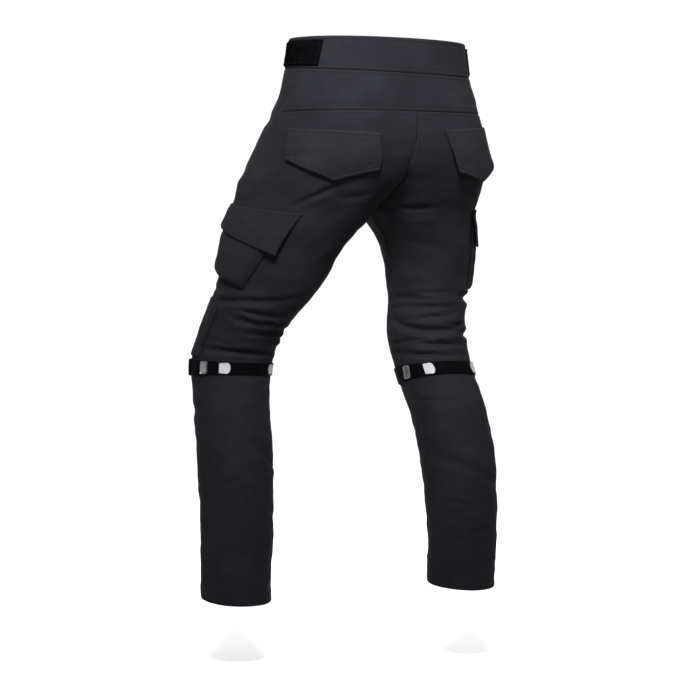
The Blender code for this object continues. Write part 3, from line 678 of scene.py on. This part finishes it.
# Front panels. The same cloth and seams as the back ones, from the waistband to the knee strap and
# from there to the hem. The fly is on the left one.
BAND_HEIGHT = 0.050
FRONT_LINES = [("inner", 0.006, 0.27, 0.965), ("round", -0.0004, HEM - 0.021, 0)]
for side in WORDS:
    knee = STRAP_DROP[side]
    panel("front_" + WORDS[side], side, False, BAND_HEIGHT, knee, FRONT_LINES)
    panel("lower_front_" + WORDS[side], side, False, knee, HEM, FRONT_LINES)

# Back yoke. One piece of the same cloth round the seat from side seam to side seam, between the
# waistband and the back panels, topstitched twice above its lower seam.


def hip_strip(name, spans, drops, thick, lift, finishes, ends_sewn):
    """A strip round the hips. spans lists (side, shares), each share being of the way from the side
    seam to the middle plane, and negative in front. Returns it and a function for lines on it."""

    def across(drop):
        found = []
        for side, shares in spans:
            shares = np.asarray(shares)
            behind = np.where(shares > 0, end_turn(side, drop, True), end_turn(side, drop, False))
            found.append((side, shares * behind))
        return found

    def rows_at(off):
        rows = [np.concatenate([place(side, d, turns, o[n]) for n, (side, turns) in cut(across(d))]) for d, o in zip(drops, off)]
        return np.array(rows)

    def cut(parts):
        start = 0
        found = []
        for side, turns in parts:
            found.append((slice(start, start + len(turns)), (side, turns)))
            start += len(turns)
        return found

    count = sum(len(shares) for _, shares in spans)
    flat = rows_at(np.zeros((len(drops), count)))
    walked = lengths_along(flat, 1).mean(0)
    from_top = (drops - drops[0])[:, None]
    from_low = (drops[-1] - drops)[:, None]
    off = lift + edge_off(from_top, walked[None]) + edge_off(from_low, walked[None])
    if ends_sewn:
        off = off + edge_off(walked, 0.0)[None] + edge_off(walked[-1] - walked, 0.0)[None]
    outer = rows_at(off)
    inner = rows_at(np.minimum(off, lift) - thick)
    uv = np.stack(np.broadcast_arrays(walked[None], from_top), -1)
    obj = shell("sewn_" + name, outer, inner, uv, finishes)
    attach(obj, "root")
    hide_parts(name)

    def line(drop, off):
        points, normals = [], []
        for side, turns in across(drop):
            points.append(place(side, drop, turns, off))
            normals.append(outward(side, drop, turns))
        return np.concatenate(points), np.concatenate(normals)

    return obj, line


def shares_from_seam(first, last, count):
    """Shares round half the hips, close together at the side seam."""
    near = EDGE["inset"] / 0.26
    return first + np.concatenate([near, np.linspace(near[-1], last - first, count)[1:]])


YOKE_SHARES = shares_from_seam(0.0015, 1.0, 76)
yoke_drops = BAND_HEIGHT + HALF_SEAM + spaced(YOKE_DROP - BAND_HEIGHT - 2 * HALF_SEAM, 0.003)
yoke, yoke_line = hip_strip(
    "yoke_back", [(LEFT, YOKE_SHARES), (RIGHT, YOKE_SHARES[::-1][1:])], yoke_drops, CLOTH, 0.0, (SHELL, INSIDE), True
)
threads = sew("topstitching_yoke_back", [yoke_line(YOKE_DROP - 0.006, -0.0003), yoke_line(BAND_HEIGHT + 0.006, -0.0003)])

# Waistband. A doubled strip of the cloth, folded over at the top and sewn to the yoke and the
# fronts. Its left end laps 30 mm past the middle of the front, under a snap.
BAND_CLOTH = 0.0024
BAND_LIFT = 0.0004
BAND_OVERLAP = 0.030


def turn_at(side, drop, x, behind):
    """The turn at which the section is x metres from the middle plane."""
    turns = np.linspace(0, 1, 2000) * float(end_turn(side, drop, behind)) * (1 if behind else -1)
    away = np.abs(form(side, drop, turns)[:, 0])
    return float(np.interp(-x, -away, turns))


def band_shares(drop):
    lap = turn_at(RIGHT, drop, BAND_OVERLAP, False) / float(end_turn(RIGHT, drop, False))
    front = -np.linspace(abs(lap) + 0.0012, 1.0, 9)[:-1]
    left = np.linspace(-1.0, 1.0, 150)
    right = np.concatenate([np.linspace(1.0, -abs(lap) + 0.03, 138)[1:], -abs(lap) + 0.03 - np.linspace(0.004, 0.03, 8)])
    return [(RIGHT, front), (LEFT, left), (RIGHT, right)]


band_drops = spaced(BAND_HEIGHT - HALF_SEAM, 0.003)
band, band_line = hip_strip(
    "waistband", band_shares(BAND_HEIGHT / 2), band_drops, BAND_CLOTH, BAND_LIFT, (SHELL, INSIDE), False
)
threads = sew("topstitching_waistband", [band_line(0.006, BAND_LIFT - 0.0003), band_line(BAND_HEIGHT - 0.006, BAND_LIFT - 0.0003)])

# Fly placket. The strip that covers the zip, 36 mm wide and rounded at its foot, laid on the left
# front and topstitched along its curve.


def fly_turns(drops, shares):
    wide = 0.036 * np.sqrt(np.maximum(1 - (np.maximum(drops - 0.176, 0.0) / 0.045) ** 2, 0.0))
    return np.array([[turn_at(LEFT, d, 0.001 + (w - 0.001) * s, False) for s in shares] for d, w in zip(drops, wide)])


fly_drops = BAND_HEIGHT + 0.001 + spaced(0.161, 0.004)
fly_share = spaced(0.036, 0.004)[::-1] / 0.036
turns = fly_turns(fly_drops, fly_share)
flat = place(LEFT, fly_drops[:, None], turns, 0.0)
from_edge = lengths_along(flat, 1)
width = from_edge[:, -1:]
off = 0.0007 + CLOTH + edge_off(from_edge, fly_drops[:, None]) + edge_off(width - from_edge, 0.0)
off = off + edge_off((fly_drops[-1] - fly_drops)[:, None], from_edge)
outer = place(LEFT, fly_drops[:, None], turns, np.maximum(off, 0.0011))
inner = place(LEFT, fly_drops[:, None], turns, 0.0007)
uv = np.stack(np.broadcast_arrays(from_edge, fly_drops[:, None]), -1)
fly = shell("sewn_fly_placket", outer, inner, uv, (SHELL,))
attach(fly, "root")
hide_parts("fly_placket")
seam_drops = np.linspace(BAND_HEIGHT + 0.004, 0.206, 120)
seam_turns = fly_turns(seam_drops, (0.80,))[:, 0]
lines = [(place(LEFT, seam_drops, seam_turns, 0.0007 + CLOTH), outward(LEFT, seam_drops, seam_turns))]
threads = sew("topstitching_fly_placket", lines)

# Back pocket flaps. Each is two layers of a slightly closer cloth turned out to a blunt point, sewn
# down along the top and topstitched round, with a pressed dimple at each lower corner where a snap
# sits beneath. The right one stands off the seat.
FLAP_CLOTH = 0.0020
BACK_FLAPS = {
    LEFT: {"top": ((0.144, 21.0), (0.153, 88.5)), "bottom": ((0.195, 32.5), (0.232, 72.0), (0.213, 98.4)), "lift": 0.004},
    RIGHT: {"top": ((0.135, 22.0), (0.146, 92.0)), "bottom": ((0.190, 31.0), (0.221, 64.0), (0.208, 91.0)), "lift": 0.013},
}
FLAP_SHELL = softshell("flap_cloth", (0.0033, 0.0034, 0.0042), (0.0053, 0.0054, 0.0065), 0.002)


def mix(a, b, share):
    return a + (b - a) * share


def along_line(knots, u):
    """Drops and turns on a line of evenly spaced knots, u from 0 to 1."""
    spans = np.linspace(0, 1, len(knots))
    return np.interp(u, spans, [k[0] for k in knots]), np.interp(u, spans, [k[1] for k in knots])


def patch(name, side, top, bottom, out, thick, finishes, grain=0.0024, edges=(1, 1, 1, 1), press=None):
    """A piece that lies on the cloth between a top and a bottom line of (drop, turn) knots. out gives
    the lower face's distance off the cloth, edges says which of top, bottom, left and right are
    finished, and press moves the face. Returns it and a function for points on its face."""

    def spots(u, v):
        high, low = along_line(top, u), along_line(bottom, u)
        return mix(high[0], low[0], v), mix(high[1], low[1], v)

    share = np.linspace(0, 1, 60)
    drop, turn = spots(share, 0.5)
    wide = lengths_along(place(side, drop, turn), 0)[-1]
    drop, turn = spots(0.5, share)
    high = lengths_along(place(side, drop, turn), 0)[-1]

    def face(u, v, more=0.0):
        drop, turn = spots(u, v)
        return place(side, drop, turn, out(drop, turn, v) + thick + more), outward(side, drop, turn)

    u, v = spaced(wide, grain)[None] / wide, spaced(high, grain)[:, None] / high
    drop, turn = spots(u, v)
    flat = place(side, drop, turn)
    from_left, from_top = lengths_along(flat, 1), lengths_along(flat, 0)
    from_right, from_low = from_left[:, -1:] - from_left, from_top[-1:] - from_top
    off = np.zeros(drop.shape)
    for used, inset, along in zip(edges, (from_top, from_low, from_left, from_right), (from_left, from_left, from_top, from_top)):
        if used:
            off = off + edge_off(inset, along)
    if press:
        off = off + press(u * wide, v * high, wide, high)
    low = out(drop, turn, v)
    outer = place(side, drop, turn, low + thick + np.maximum(off, -0.62 * thick))
    inner = place(side, drop, turn, low)
    uv = np.stack([from_left, from_top], -1)
    obj = shell("sewn_" + name, outer, inner, uv, finishes)
    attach(obj, "root")
    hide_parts(name)
    return obj, face, wide, high


def border(face, wide, high, inset, sides="lrb", more=-0.0004):
    """Topstitching lines a distance in from the edges: l left, r right, b bottom, t top."""
    u, v = inset / wide, inset / high
    share = np.linspace(0, 1, 90)
    found = []
    if "l" in sides:
        found.append(face(np.full(90, u), mix(v, 1 - v, share), more))
    if "b" in sides:
        found.append(face(mix(u, 1 - u, share), np.full(90, 1 - v), more))
    if "r" in sides:
        found.append(face(np.full(90, 1 - u), mix(1 - v, v, share), more))
    if "t" in sides:
        found.append(face(mix(u, 1 - u, share), np.full(90, v), more))
    return found


def dimples(places, radius, depth):
    """Pressed dimples at places given as shares of the width and height."""

    def press(x, y, wide, high):
        off = 0.0
        for u, v in places:
            far = np.hypot(x - u * wide, y - v * high) / radius
            off = off - depth * np.exp(-(far**2) * 1.4) + depth * 0.35 * np.exp(-(((far - 1.5) / 0.5) ** 2))
        return off

    return press


for side, word in WORDS.items():
    flap = BACK_FLAPS[side]
    name = "back_flap_" + word

    def out(drop, turn, v, flap=flap):
        return 0.0008 + flap["lift"] * v**1.5

    obj, face, wide, high = patch(
        name, side, flap["top"], flap["bottom"], out, FLAP_CLOTH, (FLAP_SHELL,),
        press=dimples(((0.10, 0.78), (0.90, 0.80)), 0.0042, 0.0013),
    )
    lines = border(face, wide, high, 0.006, "lrbt") + border(face, wide, high, 0.0022, "t")
    threads = sew("topstitching_" + name, lines)

# Cargo pockets. A bellows bag on each thigh, one sheet whose edges turn in to the leg as gussets,
# topstitched close to the fold along the sides and the foot.
CARGO_BAGS = {
    LEFT: {"drops": (0.304, 0.416), "front": (-50.0, -56.0), "rear": (58.0, 36.0), "bulge": 0.0080},
    RIGHT: {"drops": (0.296, 0.404), "front": (-42.0, -36.0), "rear": (48.0, 44.0), "bulge": 0.0065},
}
BAG_LAY = 0.0009


def bag_lift(side, drop, turn):
    """How far the bellows pocket stands off the cloth, 0 outside it."""
    bag = CARGO_BAGS[side]
    v = (drop - bag["drops"][0]) / (bag["drops"][1] - bag["drops"][0])
    front, rear = mix(*bag["front"], v), mix(*bag["rear"], v)
    u = (turn - front) / (rear - front)
    within = (u >= 0) & (u <= 1) & (v >= 0) & (v <= 1)
    sides = np.minimum(1.0, np.minimum(u, 1 - u) / 0.11)
    below = np.minimum(1.0, (1 - v) / 0.10)
    return np.where(within, BAG_LAY + bag["bulge"] * sides * (2 - sides) * below * (2 - below) * smooth(v / 0.36), 0.0)


for side, word in WORDS.items():
    bag = CARGO_BAGS[side]
    name = "cargo_pocket_" + word

    def out(drop, turn, v, side=side, bag=bag):
        inside = np.clip(drop, *bag["drops"])
        return np.maximum(bag_lift(side, inside, turn), BAG_LAY)

    top = ((bag["drops"][0], bag["front"][0]), (bag["drops"][0], bag["rear"][0]))
    bottom = ((bag["drops"][1], bag["front"][1]), (bag["drops"][1], bag["rear"][1]))
    obj, face, wide, high = patch(name, side, top, bottom, out, CLOTH, (SHELL,), edges=(0, 1, 1, 1))
    lines = border(face, wide, high, 0.0060, "lrb")
    threads = sew("topstitching_" + name, lines)

# Cargo flaps. Two layers of the same softshell, sewn down along the top and hanging over the bag
# below, topstitched round, with dimples where hook-and-loop squares are sewn beneath.
CARGO_FLAPS = {
    LEFT: {"top": ((0.272, -53.0), (0.290, 62.0)), "bottom": ((0.322, -54.0), (0.334, 6.0), (0.348, 60.0)), "lift": 0.0105},
    RIGHT: {"top": ((0.264, -46.0), (0.276, 52.0)), "bottom": ((0.318, -44.0), (0.332, 4.0), (0.334, 50.0)), "lift": 0.0095},
}

for side, word in WORDS.items():
    flap = CARGO_FLAPS[side]
    name = "cargo_flap_" + word

    def out(drop, turn, v, side=side, flap=flap):
        own = BAG_LAY + flap["lift"] * smooth(0.08 + 0.92 * v) ** 0.8
        bag = bag_lift(side, drop, turn)
        return np.where(bag > 0, np.maximum(own, bag + CLOTH + 0.0010), own)

    obj, face, wide, high = patch(
        name, side, flap["top"], flap["bottom"], out, FLAP_CLOTH, (SHELL,),
        press=dimples(((0.12, 0.72), (0.88, 0.72)), 0.008, 0.0006),
    )
    lines = border(face, wide, high, 0.006, "lrbt") + border(face, wide, high, 0.0022, "t")
    threads = sew("topstitching_" + name, lines)

# Knee panels. A second layer of the cloth over the front of each knee, above the strap, turned
# under and topstitched all round.
for side, word in WORDS.items():
    name = "knee_panel_" + word
    low = STRAP_DROP[side] - STRAP_WIDTH / 2 - 0.006
    top = ((low - 0.088, 8.0), (low - 0.096, -60.0), (low - 0.088, -128.0))
    bottom = ((low, 8.0), (low, -60.0), (low, -128.0))
    obj, face, wide, high = patch(name, side, top, bottom, lambda d, t, v: 0.0010 + 0 * d, CLOTH, (SHELL,))
    threads = sew("topstitching_" + name, border(face, wide, high, 0.006, "lrbt"))

# Waist tabs. A hook-and-loop tab on each side of the waistband, 40 mm high, doubled and stitched
# round its edge. Its face is dull looped tape.
for side, word in WORDS.items():
    name = "waist_tab_" + word
    if side == LEFT:
        made, nodes, links, shader = nodes_of("looped_tape", (0.010, 0.010, 0.011), 0.9)
        at = nodes.new("ShaderNodeTexCoord")
        loops = noise(nodes, links, at.outputs["Object"], 1300.0, 3.0, 0.7)
        worn = noise(nodes, links, at.outputs["Object"], 90.0, 4.0, 0.6)
        both = math_node(nodes, links, "MULTIPLY", loops, worn)
        links.new(mix_colours(nodes, links, ramp(nodes, links, both, 0.12, 0.40), (0.0003, 0.0003, 0.0004), (0.0014, 0.0014, 0.0016)), shader.inputs["Base Color"])
        shader.inputs["Specular IOR Level"].default_value = 0.0
        bump(nodes, links, shader, both, 0.0005)
        LOOPED = made
    top, bottom = ((0.006, -38.0), (0.006, 30.0)), ((0.046, -38.0), (0.046, 28.0))
    obj, face, wide, high = patch(name, side, top, bottom, lambda d, t, v: 0.0012 + 0 * d, FLAP_CLOTH, (LOOPED,))
    lines = border(face, wide, high, 0.004, "lrbt", -0.0001)
    threads = sew("topstitching_" + name, lines)

# Knee straps. Black polyester webbing 25 mm wide round each leg below the knee, its end lapped over
# its start and stitched down in a box.
WEBBING = 0.0015
STRAP_FROM = -52.0
STRAP_LAP = 34.0
STRAP_LAY = 0.0010
made, nodes, links, shader = nodes_of("black_webbing", (0.008, 0.008, 0.009), 0.55)
woven = nodes.new("ShaderNodeUVMap")
woven.uv_map = "cloth"
ribs = bands(nodes, links, woven.outputs["UV"], 0.0013, "X", 0.3)
cords = bands(nodes, links, woven.outputs["UV"], 0.0017, "Y", 0.2)
slub = noise(nodes, links, woven.outputs["UV"], 1200.0, 3.0, 0.6, (0.25, 1.0, 1.0))
height = math_node(nodes, links, "ADD", math_node(nodes, links, "MULTIPLY", ribs, cords), math_node(nodes, links, "MULTIPLY", slub, 0.3))
# Painted highlight and shade: the webbing is lighter on its raised ribs and darker in the grooves between them,
# following the bump height.
links.new(mix_colours(nodes, links, ramp(nodes, links, height, 0.1, 1.1), (0.0003, 0.0003, 0.0004), (0.0011, 0.0011, 0.0014)), shader.inputs["Base Color"])
links.new(ramp(nodes, links, height, 0.0, 1.2, 0.68, 0.45), shader.inputs["Roughness"])
shader.inputs["Specular IOR Level"].default_value = 0.01
bump(nodes, links, shader, height, 0.00035)
WEB = made
for side, word in WORDS.items():
    name = "knee_strap_" + word
    turns = np.linspace(STRAP_FROM, STRAP_FROM + 360 + STRAP_LAP, 240)[None]
    rows = np.concatenate([[0, 0.0004, 0.0011], np.linspace(0.0022, STRAP_WIDTH - 0.0022, 12), STRAP_WIDTH - np.array([0.0011, 0.0004, 0])])
    drop = STRAP_DROP[side] - STRAP_WIDTH / 2 + rows[:, None]
    wrapped = (turns + 180) % 360 - 180
    over = STRAP_LAY + smooth((turns - STRAP_FROM - 342) / 16) * (WEBBING + 0.0005)
    inset = np.minimum(rows, rows[::-1])[:, None]
    edge = -0.0005 * (1 - smooth(inset / 0.0012)) + 0 * turns
    outer = place(side, drop, wrapped, over + WEBBING + edge)
    inner = place(side, drop, wrapped, over - edge * 0.6)
    along = lengths_along(place(side, STRAP_DROP[side], wrapped[0]), 0)
    uv = np.stack(np.broadcast_arrays(along[None], rows[:, None]), -1)
    obj = shell("sewn_" + name, outer, inner, uv, (WEB,))
    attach(obj, "root")
    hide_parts(name)
    lines = []
    end = STRAP_FROM + 360 + STRAP_LAP
    for line_drop, first, last in ((-0.0095, end - 17, end - 3), (0.0095, end - 17, end - 3)):
        turn = np.linspace(first, last, 40)
        round_ = (turn + 180) % 360 - 180
        level = STRAP_DROP[side] + line_drop
        lines.append((place(side, level, round_, STRAP_LAY + 2 * WEBBING + 0.0005), outward(side, level, round_)))
    for turn in (end - 17, end - 3):
        level = STRAP_DROP[side] + np.linspace(-0.0095, 0.0095, 40)
        round_ = (turn + 180) % 360 - 180
        lines.append((place(side, level, round_, STRAP_LAY + 2 * WEBBING + 0.0005), outward(side, level, round_)))
    threads = sew("topstitching_" + name, lines)

# Reflective tabs. Light grey reflective tape, a face of fine glass beads in a black bound edge, cut
# with one round end and sewn to the strap.
PATCH = 0.0012
made, nodes, links, shader = nodes_of("reflective_tape", (0.20, 0.205, 0.22), 0.5)
at = nodes.new("ShaderNodeTexCoord")
beads = nodes.new("ShaderNodeTexVoronoi")
beads.inputs["Scale"].default_value = 1500.0
links.new(at.outputs["Object"], beads.inputs["Vector"])
smudge = noise(nodes, links, at.outputs["Object"], 120.0, 4.0, 0.6)
shade = mix_colours(nodes, links, ramp(nodes, links, smudge, 0.3, 0.8), (0.165, 0.17, 0.185), (0.125, 0.13, 0.14))
links.new(mix_colours(nodes, links, ramp(nodes, links, beads.outputs["Distance"], 0.2, 0.8), shade, (0.12, 0.123, 0.132)), shader.inputs["Base Color"])
links.new(ramp(nodes, links, smudge, 0.3, 0.8, 0.45, 0.65), shader.inputs["Roughness"])
shader.inputs["Specular IOR Level"].default_value = 0.2
bump(nodes, links, shader, beads.outputs["Distance"], 0.00012)
REFLECTIVE = made
made, nodes, links, shader = nodes_of("binding_tape", (0.008, 0.008, 0.009), 0.6)
at = nodes.new("ShaderNodeTexCoord")
grain = noise(nodes, links, at.outputs["Object"], 1500.0, 3.0, 0.6)
links.new(mix_colours(nodes, links, grain, (0.0018, 0.0018, 0.0020), (0.0070, 0.0070, 0.0076)), shader.inputs["Base Color"])
shader.inputs["Specular IOR Level"].default_value = 0.1
bump(nodes, links, shader, grain, 0.0002)
BINDING = made
TABS = (
    ("reflector_outer_left", LEFT, 54.0, 1),
    ("reflector_inner_left", LEFT, 131.0, -1),
    ("reflector_outer_right", RIGHT, 51.0, 1),
    ("reflector_inner_right", RIGHT, 131.0, -1),
)
TAB_WIDE, TAB_HIGH = 0.020, 0.022


def strap_half_turn(side, wide):
    row = section(side, STRAP_DROP[side])
    return math.degrees(wide / 2 / float((row["out"] + row["back"]) / 2))


for name, side, middle_turn, round_end in TABS:
    half = strap_half_turn(side, TAB_WIDE)
    near = np.array([0.0, 0.0003, 0.0008, 0.0014, 0.0018, 0.0022])
    v = np.concatenate([near, np.linspace(0.0032, TAB_HIGH - 0.0032, 14), TAB_HIGH - near[::-1]])
    v = (v / TAB_HIGH * 2 - 1)[:, None]
    bow = 1 - 0.62 * (1 - np.sqrt(np.maximum(1 - v * v, 0.0)))
    left = -1.0 if round_end > 0 else -bow
    right = bow if round_end > 0 else 1.0 + 0 * bow
    u = np.concatenate([near, np.linspace(0.0032, TAB_WIDE - 0.0032, 12), TAB_WIDE - near[::-1]])[None] / TAB_WIDE
    across = left + (right - left) * u
    turn, drop = middle_turn + across * half, STRAP_DROP[side] + v * TAB_HIGH / 2
    base = STRAP_LAY + WEBBING + 0.0005
    points = place(side, drop + 0 * turn, turn, base)
    from_left, from_top = lengths_along(points, 1), lengths_along(points, 0)
    inset = np.minimum(np.minimum(from_left, from_left[:, -1:] - from_left), np.minimum(from_top, from_top[-1:] - from_top))
    bound = np.interp(inset, (0, 0.0003, 0.0008, 0.0014, 0.0018, 0.0022, 0.004), (0.00045, 0.0009, 0.0012, 0.0011, 0.0008, 0.00075, 0.0008))
    outer = place(side, drop + 0 * turn, turn, base + bound)
    uv = np.stack([from_left, from_top], -1)
    obj = shell("sewn_" + name, outer, points, uv, (REFLECTIVE, BINDING))
    count = (outer.shape[0] - 1) * (outer.shape[1] - 1)
    cell = inset[:-1, :-1] * 0.25 + inset[1:, 1:] * 0.25 + inset[:-1, 1:] * 0.25 + inset[1:, :-1] * 0.25
    slots = np.ones(len(obj.data.polygons), np.int32)
    slots[:count] = np.where(cell.reshape(-1) > 0.0015, 0, 1)
    obj.data.polygons.foreach_set("material_index", slots)
    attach(obj, "root")
    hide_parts(name)

# Strap sliders. A satin grey plate on each strap, a rounded rectangle with a raised rim round a
# lowered face, sewn behind the reflective tab. One is modelled flat, then laid at each place.
made, nodes, links, shader = nodes_of("satin_metal", (0.20, 0.205, 0.215), 0.38, 1.0)
at = nodes.new("ShaderNodeTexCoord")
brushed = noise(nodes, links, at.outputs["Object"], 900.0, 3.0, 0.6, (1.0, 1.0, 0.04))
smudge = noise(nodes, links, at.outputs["Object"], 160.0, 3.0, 0.6)
links.new(mix_colours(nodes, links, ramp(nodes, links, smudge, 0.3, 0.7), (0.15, 0.155, 0.165), (0.24, 0.245, 0.26)), shader.inputs["Base Color"])
links.new(ramp(nodes, links, math_node(nodes, links, "ADD", brushed, smudge), 0.5, 1.5, 0.26, 0.46), shader.inputs["Roughness"])
bump(nodes, links, shader, brushed, 0.00006)
SATIN = made


def seated(side, drop, turn, out):
    """Where a small hard piece sits: its own X along the strap, Y up the leg and Z out of the cloth."""
    point = place(side, drop, turn, out)
    up = outward(side, drop, turn)
    across = unit(place(side, drop, turn + 1.0, out) - place(side, drop, turn - 1.0, out))
    across = unit(across - up * (across @ up))
    rest = np.cross(up, across)
    frame_ = Matrix.Identity(4)
    for k, column in enumerate((across, rest, up, point)):
        for i in range(3):
            frame_[i][k] = column[i]
    return frame_


for name, side, turn in (("slider_left", LEFT, 23.0), ("slider_right", RIGHT, 169.0)):
    bpy.ops.object.select_all(action="DESELECT")
    bpy.ops.mesh.primitive_cube_add(size=1.0, location=(0, 0, 0.0007), scale=(0.015, 0.022, 0.0013))
    plate = bpy.context.object
    plate.name = "plate_" + name
    bpy.ops.object.transform_apply(location=True, rotation=False, scale=True)
    bpy.ops.object.mode_set(mode="EDIT")
    bpy.ops.mesh.select_all(action="DESELECT")
    bpy.ops.object.mode_set(mode="OBJECT")
    for edge in plate.data.edges:
        a, b = (plate.data.vertices[i].co for i in edge.vertices)
        edge.select = abs(a.z - b.z) > 0.0005
    bpy.ops.object.mode_set(mode="EDIT")
    bpy.ops.mesh.select_mode(type="EDGE")
    bpy.ops.mesh.bevel(offset=0.0024, segments=5, affect="EDGES")
    bpy.ops.mesh.select_all(action="DESELECT")
    bpy.ops.mesh.select_mode(type="FACE")
    bpy.ops.object.mode_set(mode="OBJECT")
    for face in plate.data.polygons:
        face.select = face.normal.z > 0.9
    bpy.ops.object.mode_set(mode="EDIT")
    bpy.ops.mesh.inset(thickness=0.0016, depth=0.0)
    bpy.ops.mesh.inset(thickness=0.0004, depth=-0.0004)
    bpy.ops.mesh.select_all(action="SELECT")
    bpy.ops.mesh.normals_make_consistent(inside=False)
    bpy.ops.object.mode_set(mode="OBJECT")
    soften = plate.modifiers.new("soften", "BEVEL")
    soften.width = 0.0003
    soften.segments = 3
    bpy.ops.object.modifier_apply(modifier="soften")
    plate.data.transform(seated(side, STRAP_DROP[side], turn, STRAP_LAY + WEBBING + 0.0004))
    bpy.ops.object.shade_smooth_by_angle(angle=math.radians(40))
    plate.data.materials.append(SATIN)
    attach(plate, "root")
    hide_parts(name)

# Waist snap. A satin domed cap 17 mm across with a rolled rim, pressed through the lapping end of
# the waistband at the front.
bpy.ops.object.select_all(action="DESELECT")
bpy.ops.mesh.primitive_cylinder_add(vertices=48, radius=0.0085, depth=0.0022, location=(0, 0, 0.0011))
snap = bpy.context.object
snap.name = "snap_waist_button"
bpy.ops.object.mode_set(mode="EDIT")
bpy.ops.mesh.select_all(action="DESELECT")
bpy.ops.mesh.select_mode(type="FACE")
bpy.ops.object.mode_set(mode="OBJECT")
for face in snap.data.polygons:
    face.select = face.normal.z > 0.9
bpy.ops.object.mode_set(mode="EDIT")
bpy.ops.mesh.inset(thickness=0.0011, depth=0.0007)
bpy.ops.mesh.inset(thickness=0.0012, depth=-0.0004)
bpy.ops.mesh.inset(thickness=0.0018, depth=0.0005)
bpy.ops.mesh.inset(thickness=0.0022, depth=0.0002)
bpy.ops.object.mode_set(mode="OBJECT")
soften = snap.modifiers.new("soften", "BEVEL")
soften.width = 0.0003
soften.segments = 3
bpy.ops.object.modifier_apply(modifier="soften")
snap.data.transform(
    seated(RIGHT, BAND_HEIGHT / 2, turn_at(RIGHT, BAND_HEIGHT / 2, BAND_OVERLAP / 2, False), BAND_LIFT + 0.0008)
)
bpy.ops.object.shade_smooth_by_angle(angle=math.radians(40))
snap.data.materials.append(SATIN)
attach(snap, "root")
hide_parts("waist_button")

# The floor, a plain pale sheet of paper that rises into a wall far off all round, as in a studio.
FLOOR_Z = -1.04
made, nodes, links, shader = nodes_of("studio_paper", (0.93, 0.93, 0.93), 0.9)
shader.inputs["Specular IOR Level"].default_value = 0.1
at = nodes.new("ShaderNodeTexCoord")
paper = noise(nodes, links, at.outputs["Object"], 3.0, 3.0, 0.5)
links.new(mix_colours(nodes, links, paper, (0.92, 0.92, 0.92), (0.94, 0.94, 0.94)), shader.inputs["Base Color"])
PAPER = made
angles = np.linspace(0, 2 * math.pi, 97)[:-1]
profile = [(r, 0.0) for r in (1.0, 3.0, 6.0)] + [(6.0 + 3.0 * math.sin(a), 3.0 - 3.0 * math.cos(a)) for a in np.radians((15, 30, 45, 60, 75, 90))]
points = [(0.0, 0.0, FLOOR_Z)]
faces = []
for radius, height in profile:
    points.extend((radius * math.cos(a), radius * math.sin(a), FLOOR_Z + height) for a in angles)
for k in range(96):
    faces.append((0, 1 + k, 1 + (k + 1) % 96))
for i in range(len(profile) - 1):
    for k in range(96):
        n = (k + 1) % 96
        faces.append((1 + i * 96 + k, 1 + (i + 1) * 96 + k, 1 + (i + 1) * 96 + n, 1 + i * 96 + n))
mesh = bpy.data.meshes.new("studio_floor")
mesh.from_pydata(points, [], faces)
mesh.shade_smooth()
mesh.materials.append(PAPER)
floor = bpy.data.objects.new("studio_floor", mesh)
bpy.context.scene.collection.objects.link(floor)

# The light: a white room all round and a large soft key above the camera, aimed at the seat, so that
# the cloth is lightest there and darkens toward its edges and down the legs.
world = bpy.data.worlds.new("studio")
bpy.context.scene.world = world
world.use_nodes = True
world.node_tree.nodes["Background"].inputs["Color"].default_value = (1.0, 1.0, 1.0, 1.0)
world.node_tree.nodes["Background"].inputs["Strength"].default_value = 1.15
TOWARD = Vector((0.5, math.cos(math.radians(30)), 0.0))
SIDEWAYS = Vector((-math.cos(math.radians(30)), 0.5, 0.0))
LAMPS = (
    ("key", TOWARD * 1.9 - SIDEWAYS * 0.1 + Vector((0, 0, 1.25)), 0.8, 27.0, 42.0, 0.02),
    ("low", TOWARD * 2.4 - SIDEWAYS * 0.6 + Vector((0, 0, 0.3)), 0.9, 0.5, 90.0, -0.70),
)
for name, spot, size, power, spread, aim in LAMPS:
    lamp = bpy.data.lights.new(name, "AREA")
    lamp.shape = "DISK"
    lamp.size = size
    lamp.energy = power
    lamp.spread = math.radians(spread)
    obj = bpy.data.objects.new(name, lamp)
    obj.location = spot
    obj.rotation_euler = (Vector((0, 0, aim)) - spot).to_track_quat("-Z", "Y").to_euler()
    bpy.context.scene.collection.objects.link(obj)
bpy.context.scene.view_settings.view_transform = "Standard"

# The camera, where the photograph was taken: level, behind the wearer and to the left.
camera = bpy.data.cameras.new("camera")
camera.sensor_width = 36.0
camera.lens = 101.83
camera.clip_end = 60.0
viewer = bpy.data.objects.new("camera", camera)
viewer.location = TOWARD * 3.3 - SIDEWAYS * 0.045 + Vector((0, 0, -0.513))
viewer.rotation_euler = (-TOWARD).to_track_quat("-Z", "Y").to_euler()
bpy.context.scene.collection.objects.link(viewer)
bpy.context.scene.camera = viewer
